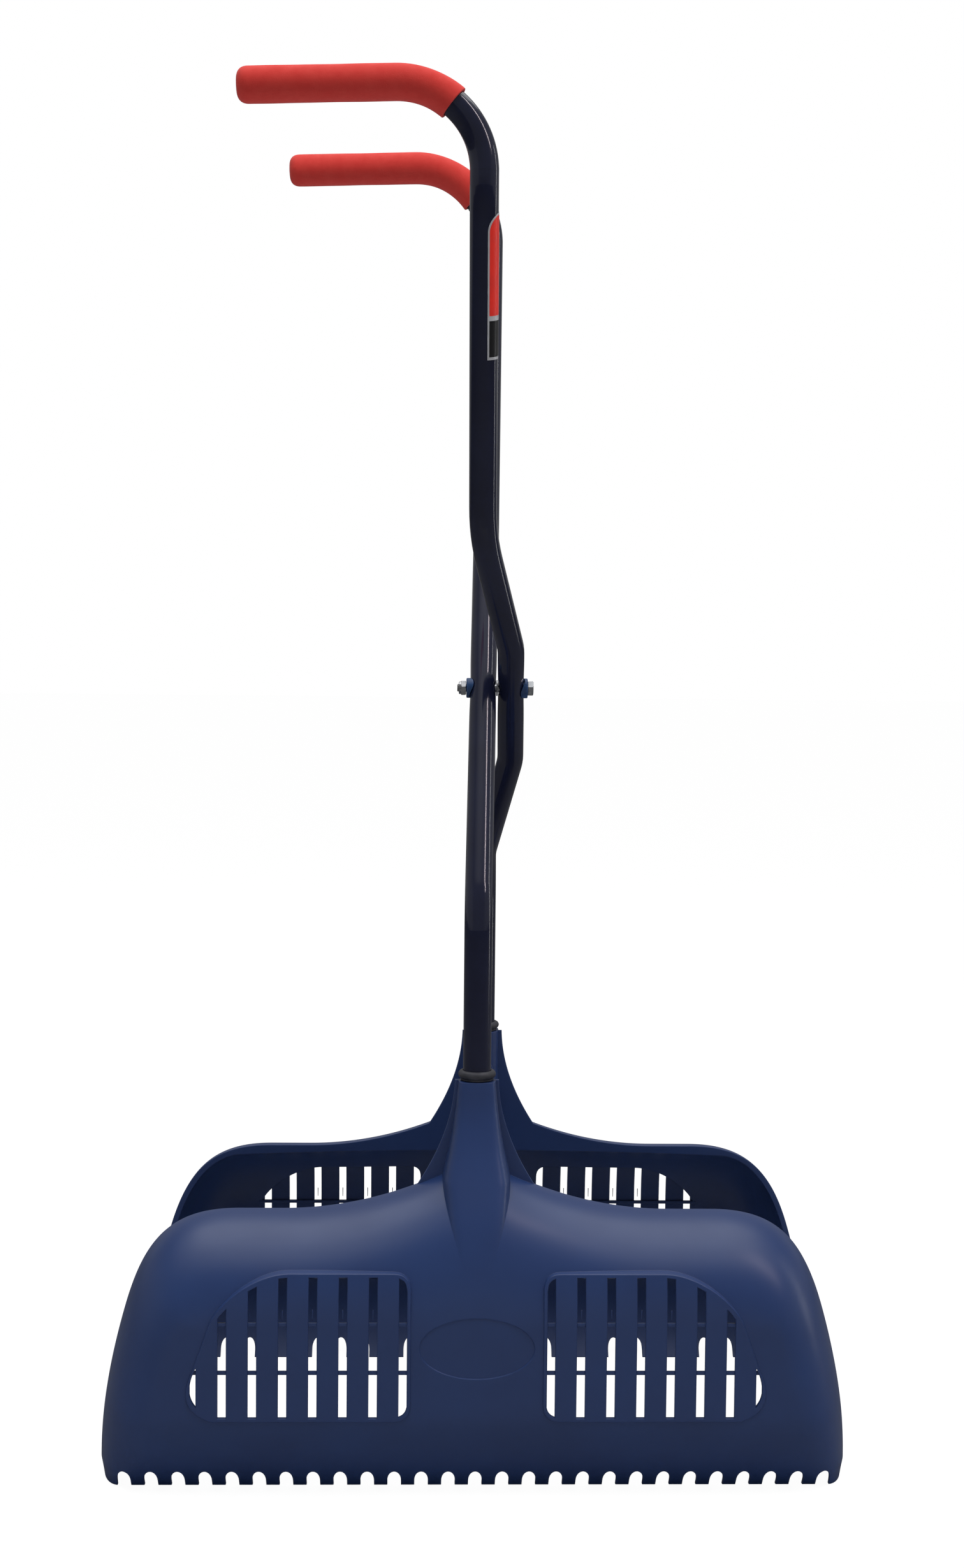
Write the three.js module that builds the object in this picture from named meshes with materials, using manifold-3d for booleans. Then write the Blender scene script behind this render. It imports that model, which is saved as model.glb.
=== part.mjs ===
// Long-handled leaf grabber: two steel tubes that cross like scissors on one bolt. Each tube has a
// foam grip at its top and a slotted, toothed scoop at its foot.
// Millimetres, +Z up, +X across the scoops, Y from the front scoop (-Y) to the rear scoop (+Y).
// The origin is on the ground under the pivot. Both tubes follow one upright plane through it, which
// the splay turns a little from the YZ plane.
import * as THREE from 'three';
import { mergeVertices } from 'three/addons/utils/BufferGeometryUtils.js';
import Module from 'manifold-3d';

const wasm = await Module();
wasm.setup();

// ---------------------------------------------------------------- driving dimensions
const FIT = 0.3; // clearance between two pieces that touch
const OVERCUT = 1; // how far a cutting tool runs past the surface that it cuts

// Steel tubes, and the line that their centres follow
const TUBE_RADIUS = 10;
const TUBE_WALL = 1.2;
const PIVOT_HEIGHT = 560.5;
const LEAN = THREE.MathUtils.degToRad(33.5); // at the pivot, from upright
const SOCKET_REACH = 103; // tube foot, from the middle plane
const HANDLE_REACH = 142; // tube top, from the middle plane
const HANDLE_HEIGHT = 977;
const FRONT_HANDLE_LENGTH = 161;
const REAR_HANDLE_LENGTH = 154;
const HANDLE_DROOP = THREE.MathUtils.degToRad(2);
const UPRIGHT = 70; // from the shoulder, where the tube turns upright, to the handle
const KNEE_HEIGHT = 672; // where the lean above the pivot eases
const HANDLE_BEND = 59;
const SHOULDER_BEND = 80;
const KNEE_BEND = 110;
const FOOT_BEND = 60;
const TUBE_FOOT_HEIGHT = 213;

// The side step of one tube past the other
const STEP_BEND = 45;
const STEP_IN = 30; // above the pivot
const STEP_OUT = 56; // below the pivot
const STEP_BACK = 132; // below the pivot, where the step has ended

// Pivot
const PINCH = 0.35; // how far each side of a tube is pressed in at the bolt
const PINCH_REACH = 27; // along the tube, each way from the bolt
const BOLT_RADIUS = 3;
const HEX_FLATS = 10;
const HEX_CHAMFER = 0.8;
const BOLT_HEAD = 4;
const BOLT_TIP = 1.2; // how far the shank shows past the nut
const NUT_HEX = 3.8;
const NUT_COLLAR = 1.6;
const NUT_COLLAR_RADIUS = 4.7;
const NUT_COLLAR_EDGE = 0.6;
const LOCK_RING_WALL = 0.7;
const WASHER_RADIUS = 7.5;
const WASHER_RIM = 2.7;
const WASHER_WINGS = 2.4; // how far the saddle reaches round the tube
const SPIGOT_WALL = 1;
const SPACER_RADIUS = 6;
const SPACER_THICKNESS = 1;

// Grips, plugs, collars and label
const GRIP_RADIUS = 13;
const GRIP_END = 6;
const GRIP_END_EDGE = 5;
const PLUG_HEAD = 1.6;
const PLUG_STEM = 14;
const PLUG_WALL = 1.5;
const COLLAR_RADIUS = 13.5;
const COLLAR_HEIGHT = 5.7;
const COLLAR_NECK_RADIUS = 11.8;
const COLLAR_NECK = 1.3;
const LABEL_LENGTH = 96;
const LABEL_DROP = 67; // from the shoulder down to its middle
const LABEL_HALF_ANGLE = THREE.MathUtils.degToRad(77);
const LABEL_THICKNESS = 0.25;

// Scoop: outline of the rim, seen from the front
const RIM_REACH = 100; // rim plane, from the middle plane
const RIM_TOP = 187.7;
const RIM_CROWN = 213; // where the rim meets the neck
const RIM_FLAT_START = 138;
const RIM_FLAT_END = 170;
const CROWN_HALF_WIDTH = 25;
const CORNER_HEIGHT = 120;
const CORNER_HALF_WIDTH = 250.7;
const SCOOP_HALF_WIDTH = 268;
const CORNER_EASE = 47; // how far the corner's curve reaches along each side
const HEEL_IN = 3.5; // how far the side's foot slants in
const HEEL_UP = 12; // and from what height
// Scoop: depth
const SCOOP_DEPTH = 72;
const SCOOP_WALL = 2.6;
const SHELF_RISE = 68; // height over which the top curves into the panel, beside the neck
const SIDE_ROUND = 40; // width over which a side curves into the panel
const LIP_HEIGHT = 58;
const LIP_INSET = 29; // how far the lip curls in at the teeth
const LIP_CURL = 1.8; // power of the lip's curve
const RIM_FLANGE = 2.4; // thickness of the flat flange behind the rim
const RIM_FLANGE_TOP = 8;
const RIM_FLANGE_SIDE = 4.5;
const MOUTH_FLAT = 192; // half width over which the mouth's top edge is nearly straight
const MOUTH_ARCH = 4; // rise of that edge to the middle
const MOUTH_EASE_UP = 38; // how far the mouth's corner curve reaches up the side
const MOUTH_EASE_IN = 24; // and along the top
// Scoop: teeth
const TOOTH_PITCH = 19;
const TOOTH_GAP = 9.4;
const TOOTH_DEPTH = 8.8;
const TOOTH_GAPS = 27;
const TOOTH_CUT = 10.4; // how far in front of the lip's foot a gap is cut
// Scoop: slotted windows, each on a raised pad that stays nearly upright where the shelf curves away
const PAD_STAND = 1; // how far the pad stands out of the panel
const PAD_LEAN = 5.5; // how far its top leans back
const PAD_LEAN_FROM = 125; // height above which it leans
const WINDOW_TOP = 158.5;
const WINDOW_BOTTOM = 55.5;
const WINDOW_INNER = 46;
const WINDOW_CORNER = 12;
const WINDOW_TOP_END = 130;
const WINDOW_OUTER = 205;
// The window's outer end is two curves and the straight between them. These are the upper curve's control
// points and end, in from WINDOW_OUTER and down from the top, then the lower curve's start and points, up
// from the bottom.
const WINDOW_SHOULDER = [[53, 0], [29, 16], [20.5, 32]];
const WINDOW_CHEEK = [7, 33];
const WINDOW_HEEL = [[-1, 15], [6, 5], [21, 0]];
const WINDOW_FRAME = 2.6; // from the pad's edge to the slots
const SLOT_COUNT = 8;
const SLOT_PITCH = 20.85;
const SLOT_WIDTH = 5.8;
const FIRST_SLOT = 51.3;
const RIB_HEIGHTS = [126, 92];
const RIB_THICKNESS = 2.4;
const RIB_DEPTH = 1.6;
const BADGE_WIDTH = 80;
const BADGE_RISE = 43;
const BADGE_HEIGHT = 107;
const BADGE_RECESS = 0.8;
// Scoop: neck and socket
const SOCKET_TOP = 282;
const SOCKET_RADIUS = 13.2;
const SOCKET_FLOOR = 4;
const FIN_THICKNESS = 3;
const FIN_TOP_HALF_WIDTH = 15.8;
const FIN_FOOT_HALF_WIDTH = 42;
const FIN_FOOT_HEIGHT = 206;
const FIN_CURVE_DROP = 37; // length over which the fin stays narrow
const FIN_CURVE_OUT = 0.7;
const SPINE_STAND = 5; // how far the spine stands out of the shelf
// The spine's stations: half width and depth beyond the socket's, and height above the rim's crown
const SPINE_WAIST = { wider: 2, deeper: 2, above: 25 };
const SPINE_FLARE = { wider: 11, deeper: 15, above: -2 };
const SPINE_ON_SHELF = [{ wider: 8, above: -24 }, { wider: 5, above: -50 }];
const SPINE_FOOT = { wider: 3, above: -89 };
const SPINE_SQUARENESS = 3.4; // exponent of the section, a superellipse
const SCREW_HEIGHT = 251;
const SCREW_PAD_RADIUS = 8.5;
const SCREW_PAD_STAND = 0.7;
const SCREW_HEAD_RADIUS = 4.5;
const SCREW_HEAD = 2.6;
const SCREW_HEAD_EDGE = 1.1;
const SCREW_RADIUS = 2;
const SCREW_LENGTH = 9;

// Facets: of round things, of bends and of the scoop's curves
const TUBE_SIDES = 12;
const BORE_SIDES = 12;
const DISC_SIDES = 16;
const SADDLE_SIDES = 24;
const HEX_SIDES = 6;
const BEND_STEPS = 7; // of the handle bend
const GRIP_BEND_STEPS = 3; // of those, the ones under the grip
const SLIGHT_BEND_STEPS = 2;
const DEGREES_PER_STEP = 12; // of the other bends
const RIM_STEPS = [1, 3, 6, 1, 4, 2]; // of each stretch of half the rim
const SHELL_STEPS = 4; // from the rim round to the back of the scoop
const LIP_STEPS = 4;
const SPINE_STEPS = [8, 8]; // along it and round it
const WINDOW_STEPS = 3; // of each of a window's curves
const LEAN_STEPS = 3; // of the pad's leaning top
const TOOTH_STEPS = 3; // of a gap's round top
const OUTLINE_STEPS = 5; // of the curves of flat outlines
const BADGE_STEPS = 8; // of half its ellipse
const WELD = 1e-4; // corners closer than this are one

// ---------------------------------------------------------------- values worked out from them
const SHOULDER_HEIGHT = HANDLE_HEIGHT - UPRIGHT;
const TUBE_BORE = TUBE_RADIUS - TUBE_WALL;
const FLAT_RADIUS = TUBE_RADIUS - PINCH; // half the tube's thickness at the bolt
const STEP = 2 * FLAT_RADIUS + SPACER_THICKNESS + 2 * FIT; // from one tube centre to the other
const SPIGOT_RADIUS = BOLT_RADIUS + FIT + SPIGOT_WALL;
const FRONT_HANDLE = -1; // side of the tube whose handle is in front; it carries the rear scoop
const REAR_HANDLE = 1;
const HEX_CORNERS = HEX_FLATS / Math.cos(Math.PI / 6) / 2;
const WASHER_FACE = FLAT_RADIUS + FIT + WASHER_RIM; // from the tube's centre
const SOCKET_DEPTH = SOCKET_REACH - RIM_REACH; // socket axis behind the rim plane
const SCOOP_SHIFT = TOOTH_PITCH / 4; // of each scoop sideways, so that its teeth meet the other's gaps
const SPLAY = SCOOP_SHIFT / SOCKET_REACH; // run of both tubes in X for each millimetre in Y
const CORNER_SLOPE = (2 * (SCOOP_HALF_WIDTH - CORNER_HALF_WIDTH)) / CORNER_HEIGHT; // of the rim there

const FINISH = {
  tube: { color: 0x12162b, roughness: 0.25, metalness: 0.4 },
  grip: { color: 0xb5332f, roughness: 0.9, metalness: 0 },
  scoop: { color: 0x25345c, roughness: 0.45, metalness: 0 },
  collar: { color: 0x34343a, roughness: 0.7, metalness: 0 },
  zinc: { color: 0xb9bcc0, roughness: 0.3, metalness: 0.9 },
  saddle: { color: 0x1f3f6e, roughness: 0.5, metalness: 0 },
  plug: { color: 0x1b1b1d, roughness: 0.6, metalness: 0 },
  nylon: { color: 0xe8e6dc, roughness: 0.5, metalness: 0 },
  label: { color: 0xd9261c, roughness: 0.35, metalness: 0 },
};

// ---------------------------------------------------------------- solids
/** A closed geometry as a solid that can be joined and cut. */
function solid(geometry) {
  const bare = geometry.clone();
  bare.deleteAttribute('normal');
  bare.deleteAttribute('uv');
  const merged = mergeVertices(bare, WELD);
  const corners = merged.index.array;
  const faces = [];
  for (let i = 0; i < corners.length; i += 3) {
    const [a, b, c] = [corners[i], corners[i + 1], corners[i + 2]];
    if (a !== b && b !== c && c !== a) faces.push(a, b, c);
  }
  const vertProperties = new Float32Array(merged.attributes.position.array);
  const triVerts = new Uint32Array(faces);
  return new wasm.Manifold(new wasm.Mesh({ numProp: 3, vertProperties, triVerts }));
}

/** A solid as a named mesh with its own material. */
function piece(name, body, finish) {
  const { vertProperties, triVerts } = body.getMesh();
  const geometry = new THREE.BufferGeometry();
  geometry.setAttribute('position', new THREE.BufferAttribute(vertProperties, 3));
  geometry.setIndex(new THREE.BufferAttribute(triVerts, 1));
  geometry.computeVertexNormals();
  const mesh = new THREE.Mesh(geometry, new THREE.MeshStandardMaterial(finish));
  mesh.name = name;
  return mesh;
}

/** A quaternion that turns +Y to a direction. */
function turnTo(direction) {
  return new THREE.Quaternion().setFromUnitVectors(new THREE.Vector3(0, 1, 0), direction.clone().normalize());
}

/** A round bar from one point to another. */
function bar(from, to, radius, sides = DISC_SIDES) {
  const axis = new THREE.Vector3().subVectors(to, from);
  const geometry = new THREE.CylinderGeometry(radius, radius, axis.length(), sides);
  geometry.applyQuaternion(turnTo(axis));
  geometry.translate(...from.clone().addScaledVector(axis, 0.5).toArray());
  return solid(geometry);
}

/** A solid of revolution about a line; the profile holds [radius, distance along the line]. */
function turned(profile, base, direction, sides = DISC_SIDES) {
  const points = [...profile, profile[0]].map(([r, z]) => new THREE.Vector2(r, z));
  if (THREE.ShapeUtils.area(points) < 0) points.reverse();
  const geometry = new THREE.LatheGeometry(points, sides);
  geometry.applyQuaternion(turnTo(direction));
  geometry.translate(base.x, base.y, base.z);
  return solid(geometry);
}

/** A flat outline in X and Z, given thickness in Y from one depth to another. */
function plate(shape, fromY, toY, curveSegments = OUTLINE_STEPS) {
  const depth = toY - fromY;
  const geometry = new THREE.ExtrudeGeometry(shape, { depth, bevelEnabled: false, curveSegments });
  geometry.rotateX(Math.PI / 2);
  geometry.translate(0, toY, 0);
  return solid(geometry);
}

/** A closed body through rings of equal count, with flat ends. */
function loft(given) {
  const travel = new THREE.Vector3().subVectors(given.at(-1)[0], given[0][0]);
  const rings = ringNormal(given[0]).dot(travel) > 0 ? given : [...given].reverse();
  const count = rings[0].length;
  const positions = rings.flat().flatMap((p) => [p.x, p.y, p.z]);
  const faces = [];
  for (let j = 0; j + 1 < rings.length; j += 1) {
    for (let i = 0; i < count; i += 1) {
      const [a, b] = [j * count + i, j * count + ((i + 1) % count)];
      faces.push(a, b, b + count, a, b + count, a + count);
    }
  }
  const cap = (ring, offset, flip) => {
    const normal = ringNormal(ring);
    const across = new THREE.Vector3().subVectors(ring[1], ring[0]).normalize();
    const up = new THREE.Vector3().crossVectors(normal, across);
    const flat = ring.map((p) => new THREE.Vector2(p.dot(across), p.dot(up)));
    THREE.ShapeUtils.triangulateShape(flat, []).forEach(([a, b, c]) => {
      faces.push(...(flip ? [a, c, b] : [a, b, c]).map((i) => i + offset));
    });
  };
  cap(rings[0], 0, true);
  cap(rings.at(-1), (rings.length - 1) * count, false);
  const geometry = new THREE.BufferGeometry();
  geometry.setAttribute('position', new THREE.Float32BufferAttribute(positions, 3));
  geometry.setIndex(faces);
  return solid(geometry);
}

/** Normal of a ring of points, by the sum of its edge products. */
function ringNormal(ring) {
  const sum = new THREE.Vector3();
  ring.forEach((p, i) => sum.add(new THREE.Vector3().crossVectors(p, ring[(i + 1) % ring.length])));
  return sum.normalize();
}

// ---------------------------------------------------------------- bent tubes
/** Straight stretches joined by round bends, with stations only where the line turns. */
class BentLine extends THREE.Curve {
  constructor(stations) {
    super();
    this.stations = stations;
  }

  /** Corners are { at, bend, steps }; a corner without a bend is a plain station. */
  static through(corners) {
    const stations = corners.flatMap((corner, i) => {
      const before = corners[i - 1];
      const after = corners[i + 1];
      const inward = before && new THREE.Vector3().subVectors(corner.at, before.at).normalize();
      const outward = after && new THREE.Vector3().subVectors(after.at, corner.at).normalize();
      if (!before || !after || !corner.bend) return [{ point: corner.at, tangent: outward ?? inward }];
      const turn = inward.angleTo(outward);
      const side = outward.clone().addScaledVector(inward, -Math.cos(turn)).divideScalar(Math.sin(turn));
      const start = corner.at.clone().addScaledVector(inward, -corner.bend * Math.tan(turn / 2));
      const steps = corner.steps ?? Math.max(SLIGHT_BEND_STEPS,
        Math.ceil(THREE.MathUtils.radToDeg(turn) / DEGREES_PER_STEP));
      return Array.from({ length: steps + 1 }, (_, j) => {
        const angle = (turn * j) / steps;
        const point = start.clone().addScaledVector(inward, corner.bend * Math.sin(angle));
        point.addScaledVector(side, corner.bend * (1 - Math.cos(angle)));
        const tangent = inward.clone().multiplyScalar(Math.cos(angle)).addScaledVector(side, Math.sin(angle));
        return { point, tangent };
      });
    });
    return new BentLine(stations);
  }

  /** The first stations of this line, with each end moved outwards along the line. */
  first(count, startBy, endBy) {
    const kept = this.stations.slice(0, count).map((s) => ({ point: s.point.clone(), tangent: s.tangent }));
    kept[0].point.addScaledVector(kept[0].tangent, -startBy);
    if (endBy > 0) {
      const end = kept.at(-1);
      kept.push({ point: end.point.clone().addScaledVector(end.tangent, endBy), tangent: end.tangent });
    }
    return new BentLine(kept);
  }

  getPointAt(u, target = new THREE.Vector3()) {
    const place = u * (this.stations.length - 1);
    const i = Math.min(Math.floor(place + 1e-9), this.stations.length - 1);
    const next = Math.min(i + 1, this.stations.length - 1);
    return target.lerpVectors(this.stations[i].point, this.stations[next].point, Math.max(place - i, 0));
  }

  getTangentAt(u, target = new THREE.Vector3()) {
    return target.copy(this.stations[Math.round(u * (this.stations.length - 1))].tangent);
  }
}

/** A round section carried along a bent line. */
function sweep(line, radius, boreRadius = 0) {
  const section = new THREE.Shape();
  section.absarc(0, 0, radius, 0, 2 * Math.PI);
  if (boreRadius > 0) {
    const bore = new THREE.Path();
    bore.absarc(0, 0, boreRadius, 0, 2 * Math.PI, true);
    section.holes.push(bore);
  }
  return new THREE.ExtrudeGeometry(section, {
    extrudePath: line, steps: line.stations.length - 1, curveSegments: TUBE_SIDES / 2,
  });
}

/** A point in the plane that a tube lies in, which the splay turns away from the middle. */
function inPlane(x, y, z) {
  return new THREE.Vector3(x + SPLAY * y, y, z);
}

/** Y of a tube's centre at a height near the pivot; side +1 has its handle at the rear. */
function leanAt(side, height) {
  return side * Math.tan(LEAN) * (height - PIVOT_HEIGHT);
}

/** The direction of a tube at the pivot, upwards. */
function leanDirection(side) {
  return inPlane(0, side * Math.sin(LEAN), Math.cos(LEAN)).normalize();
}

/** Length of a tube's handle, from the upright's centre line. */
function handleLength(side) {
  return side === REAR_HANDLE ? REAR_HANDLE_LENGTH : FRONT_HANDLE_LENGTH;
}

/** The centre line of one tube, from its handle end to its foot. */
function tubeLine(side, step) {
  const onLean = (x, height) => inPlane(x, leanAt(side, height), height);
  const pinchMarks = [-1, -0.5, 0, 0.5, 1].map((share) => (
    { at: onLean(step, PIVOT_HEIGHT - share * PINCH_REACH * Math.cos(LEAN)) }));
  const stepCorners = (height, x) => ({ at: onLean(x, PIVOT_HEIGHT + height), bend: STEP_BEND });
  const length = handleLength(side);
  const droop = length * Math.tan(HANDLE_DROOP);
  return BentLine.through([
    { at: inPlane(-length, side * HANDLE_REACH, HANDLE_HEIGHT - droop) },
    { at: inPlane(0, side * HANDLE_REACH, HANDLE_HEIGHT), bend: HANDLE_BEND, steps: BEND_STEPS },
    { at: inPlane(0, side * HANDLE_REACH, SHOULDER_HEIGHT), bend: SHOULDER_BEND },
    { at: onLean(0, KNEE_HEIGHT), bend: KNEE_BEND },
    ...(step ? [stepCorners(STEP_IN, step)] : []),
    ...pinchMarks,
    ...(step ? [stepCorners(-STEP_OUT, step), stepCorners(-STEP_BACK, 0)] : []),
    { at: inPlane(0, -side * SOCKET_REACH, PIVOT_HEIGHT - SOCKET_REACH / Math.tan(LEAN)), bend: FOOT_BEND },
    { at: inPlane(0, -side * SOCKET_REACH, TUBE_FOOT_HEIGHT) },
  ]);
}

/** Presses a tube's two sides in where the bolt goes through. */
function pinch(geometry, side, axisX) {
  const position = geometry.attributes.position;
  const pivot = new THREE.Vector3(axisX, 0, PIVOT_HEIGHT);
  const along = leanDirection(side);
  const point = new THREE.Vector3();
  for (let i = 0; i < position.count; i += 1) {
    point.fromBufferAttribute(position, i);
    const distance = point.sub(pivot).dot(along);
    if (Math.abs(distance) < PINCH_REACH) {
      const ease = Math.cos((distance / PINCH_REACH) * (Math.PI / 2)) ** 2;
      const middle = axisX + along.x * distance;
      position.setX(i, middle + (position.getX(i) - middle) * (1 - (PINCH / TUBE_RADIUS) * ease));
    }
  }
  return geometry;
}

/** One steel tube, with its bolt hole and the hole for the scoop's screw. */
function steelTube(name, side, axisX) {
  const body = solid(pinch(sweep(tubeLine(side, axisX), TUBE_RADIUS, TUBE_BORE), side, axisX));
  const reach = TUBE_RADIUS + OVERCUT;
  const pivot = new THREE.Vector3(axisX, 0, PIVOT_HEIGHT);
  const across = new THREE.Vector3(reach, 0, 0);
  const boltHole = bar(pivot.clone().sub(across), pivot.clone().add(across), SPIGOT_RADIUS + FIT, BORE_SIDES);
  const socketAxis = inPlane(0, -side * SOCKET_REACH, SCREW_HEIGHT);
  const inward = new THREE.Vector3(0, side * reach, 0);
  const screwHole = bar(socketAxis, socketAxis.clone().add(inward), SCREW_RADIUS + FIT, BORE_SIDES);
  return piece(name, body.subtract(boltHole).subtract(screwHole), FINISH.tube);
}

/** The handle's direction, from the bend to the free end. */
const HANDLE_OUT = new THREE.Vector3(-Math.cos(HANDLE_DROOP), 0, -Math.sin(HANDLE_DROOP));

/** A foam grip with a closed free end, pushed over the handle and part of its bend. */
function grip(name, side) {
  const line = tubeLine(side, 0);
  const count = GRIP_BEND_STEPS + 2;
  const toEnd = FIT + PLUG_HEAD + FIT; // from the tube's end to the closed end of the bore
  const lap = (GRIP_END - GRIP_END_EDGE) / 2; // of the sleeve and the rounded end
  const start = line.stations[0].point;
  const sleeve = solid(sweep(line.first(count, toEnd + lap, 0), GRIP_RADIUS));
  const bore = solid(sweep(line.first(count, toEnd, OVERCUT), TUBE_RADIUS + FIT));
  const arc = [0, 45, 90].map((degrees) => {
    const angle = THREE.MathUtils.degToRad(degrees);
    const [r, z] = [1 - Math.cos(angle), 1 - Math.sin(angle)];
    return [GRIP_RADIUS - GRIP_END_EDGE * r, GRIP_END - GRIP_END_EDGE * z];
  });
  const base = start.clone().addScaledVector(HANDLE_OUT, toEnd);
  const end = turned([[0, 0], [GRIP_RADIUS, 0], ...arc, [0, GRIP_END]], base, HANDLE_OUT, TUBE_SIDES);
  return piece(name, sleeve.subtract(bore).add(end), FINISH.grip);
}

/** A plastic plug in the tube's open end, under the grip. */
function endPlug(name, side) {
  const end = tubeLine(side, 0).stations[0].point;
  const stem = TUBE_BORE - FIT;
  const hollow = stem - PLUG_WALL;
  const head = TUBE_RADIUS - FIT;
  const top = FIT + PLUG_HEAD;
  const outside = [[0, top], [head, top], [head, FIT], [stem, FIT], [stem, -PLUG_STEM]];
  const profile = [...outside, [hollow, -PLUG_STEM], [hollow, FIT], [0, FIT]];
  return piece(name, turned(profile, end, HANDLE_OUT, TUBE_SIDES), FINISH.plug);
}

/** The bead that closes the mouth of a scoop's socket round the tube. */
function collar(name, side) {
  const base = inPlane(0, -side * SOCKET_REACH, SOCKET_TOP + FIT);
  const bore = TUBE_RADIUS + FIT;
  const half = COLLAR_HEIGHT / 2;
  const middle = COLLAR_NECK + half;
  const bulge = [-80, -40, 0, 40, 80].map((degrees) => {
    const angle = THREE.MathUtils.degToRad(degrees);
    return [COLLAR_RADIUS - half * (1 - Math.cos(angle)), middle + half * Math.sin(angle)];
  });
  const profile = [[bore, 0], [COLLAR_NECK_RADIUS, 0], [COLLAR_NECK_RADIUS, COLLAR_NECK],
    ...bulge.filter(([r]) => r > bore), [bore, COLLAR_NECK + COLLAR_HEIGHT]];
  return piece(name, turned(profile, base, new THREE.Vector3(0, 0, 1)), FINISH.collar);
}

/** The thin sticker wrapped round the outer side of the front handle's tube. */
function label(name) {
  const inner = TUBE_RADIUS + FIT / 2;
  const shape = new THREE.Shape();
  shape.absarc(0, 0, inner + LABEL_THICKNESS, -LABEL_HALF_ANGLE, LABEL_HALF_ANGLE, false);
  shape.absarc(0, 0, inner, LABEL_HALF_ANGLE, -LABEL_HALF_ANGLE, true);
  const geometry = new THREE.ExtrudeGeometry(shape, { depth: LABEL_LENGTH, bevelEnabled: false,
    curveSegments: OUTLINE_STEPS });
  const knee = inPlane(0, leanAt(FRONT_HANDLE, KNEE_HEIGHT), KNEE_HEIGHT);
  const shoulder = inPlane(0, FRONT_HANDLE * HANDLE_REACH, SHOULDER_HEIGHT);
  const axis = new THREE.Vector3().subVectors(shoulder, knee).normalize();
  const share = LABEL_DROP / (SHOULDER_HEIGHT - KNEE_HEIGHT);
  const middle = new THREE.Vector3().lerpVectors(shoulder, knee, share);
  geometry.translate(0, 0, -LABEL_LENGTH / 2);
  geometry.applyQuaternion(new THREE.Quaternion().setFromUnitVectors(new THREE.Vector3(0, 0, 1), axis));
  geometry.translate(middle.x, middle.y, middle.z);
  return piece(name, solid(geometry), FINISH.label);
}

// ---------------------------------------------------------------- pivot
/** A point on the bolt's axis. */
function onPivot(x) {
  return new THREE.Vector3(x, 0, PIVOT_HEIGHT);
}

/** A plastic washer whose inner face is a saddle on the tube, with a spigot in the tube's bolt hole. */
function saddleWasher(name, side, axisX, outward) {
  const at = (distance) => onPivot(axisX + outward * distance);
  const disc = bar(at(FLAT_RADIUS - WASHER_WINGS), at(WASHER_FACE), WASHER_RADIUS);
  const along = leanDirection(side).multiplyScalar(2 * WASHER_RADIUS);
  const tubeCore = bar(at(0).sub(along), at(0).add(along), TUBE_RADIUS + FIT, SADDLE_SIDES);
  const spigot = bar(at(TUBE_BORE - OVERCUT), at(WASHER_FACE - OVERCUT), SPIGOT_RADIUS, BORE_SIDES);
  const bore = bar(at(0), at(WASHER_FACE + OVERCUT), BOLT_RADIUS + FIT, BORE_SIDES);
  return piece(name, disc.subtract(tubeCore).add(spigot).subtract(bore), FINISH.saddle);
}

/** The flat washer that keeps the two tubes apart. */
function spacer(name) {
  const middle = STEP / 2;
  const from = onPivot(middle - SPACER_THICKNESS / 2);
  const to = onPivot(middle + SPACER_THICKNESS / 2);
  const over = new THREE.Vector3(OVERCUT, 0, 0);
  const bore = bar(from.clone().sub(over), to.clone().add(over), BOLT_RADIUS + FIT, BORE_SIDES);
  return piece(name, bar(from, to, SPACER_RADIUS).subtract(bore), FINISH.zinc);
}

const HEAD_FACE = STEP + WASHER_FACE + FIT; // where the bolt's head starts
const NUT_FACE = -WASHER_FACE - FIT; // where the nut starts
const NUT_END = NUT_FACE - NUT_HEX - NUT_COLLAR;

/** The hexagon bolt through both tubes. */
function pivotBolt(name) {
  const head = bar(onPivot(HEAD_FACE), onPivot(HEAD_FACE + BOLT_HEAD), HEX_CORNERS, HEX_SIDES);
  const chamfered = [[0, 0], [HEX_CORNERS, 0], [HEX_CORNERS, BOLT_HEAD - HEX_CHAMFER],
    [HEX_CORNERS - HEX_CHAMFER, BOLT_HEAD], [0, BOLT_HEAD]];
  const chamfer = turned(chamfered, onPivot(HEAD_FACE), new THREE.Vector3(1, 0, 0), SADDLE_SIDES);
  const shank = bar(onPivot(NUT_END - BOLT_TIP), onPivot(HEAD_FACE + OVERCUT), BOLT_RADIUS);
  return piece(name, head.intersect(chamfer).add(shank), FINISH.zinc);
}

/** The lock nut: a hexagon with a round collar that holds the nylon ring. */
function pivotNut(name) {
  const hex = bar(onPivot(NUT_FACE), onPivot(NUT_FACE - NUT_HEX), HEX_CORNERS, HEX_SIDES);
  const toEnd = new THREE.Vector3(-1, 0, 0);
  const dome = turned([[0, 0], [NUT_COLLAR_RADIUS, 0], [NUT_COLLAR_RADIUS, NUT_COLLAR - NUT_COLLAR_EDGE],
    [NUT_COLLAR_RADIUS - NUT_COLLAR_EDGE, NUT_COLLAR], [0, NUT_COLLAR]], onPivot(NUT_FACE - NUT_HEX), toEnd);
  const bore = bar(onPivot(NUT_FACE + OVERCUT), onPivot(NUT_END - OVERCUT), BOLT_RADIUS + FIT, BORE_SIDES);
  const ringSeat = BOLT_RADIUS + LOCK_RING_WALL + 2 * FIT;
  const seat = bar(onPivot(NUT_FACE - NUT_HEX), onPivot(NUT_END - OVERCUT), ringSeat);
  return piece(name, hex.add(dome).subtract(bore).subtract(seat), FINISH.zinc);
}

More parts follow.
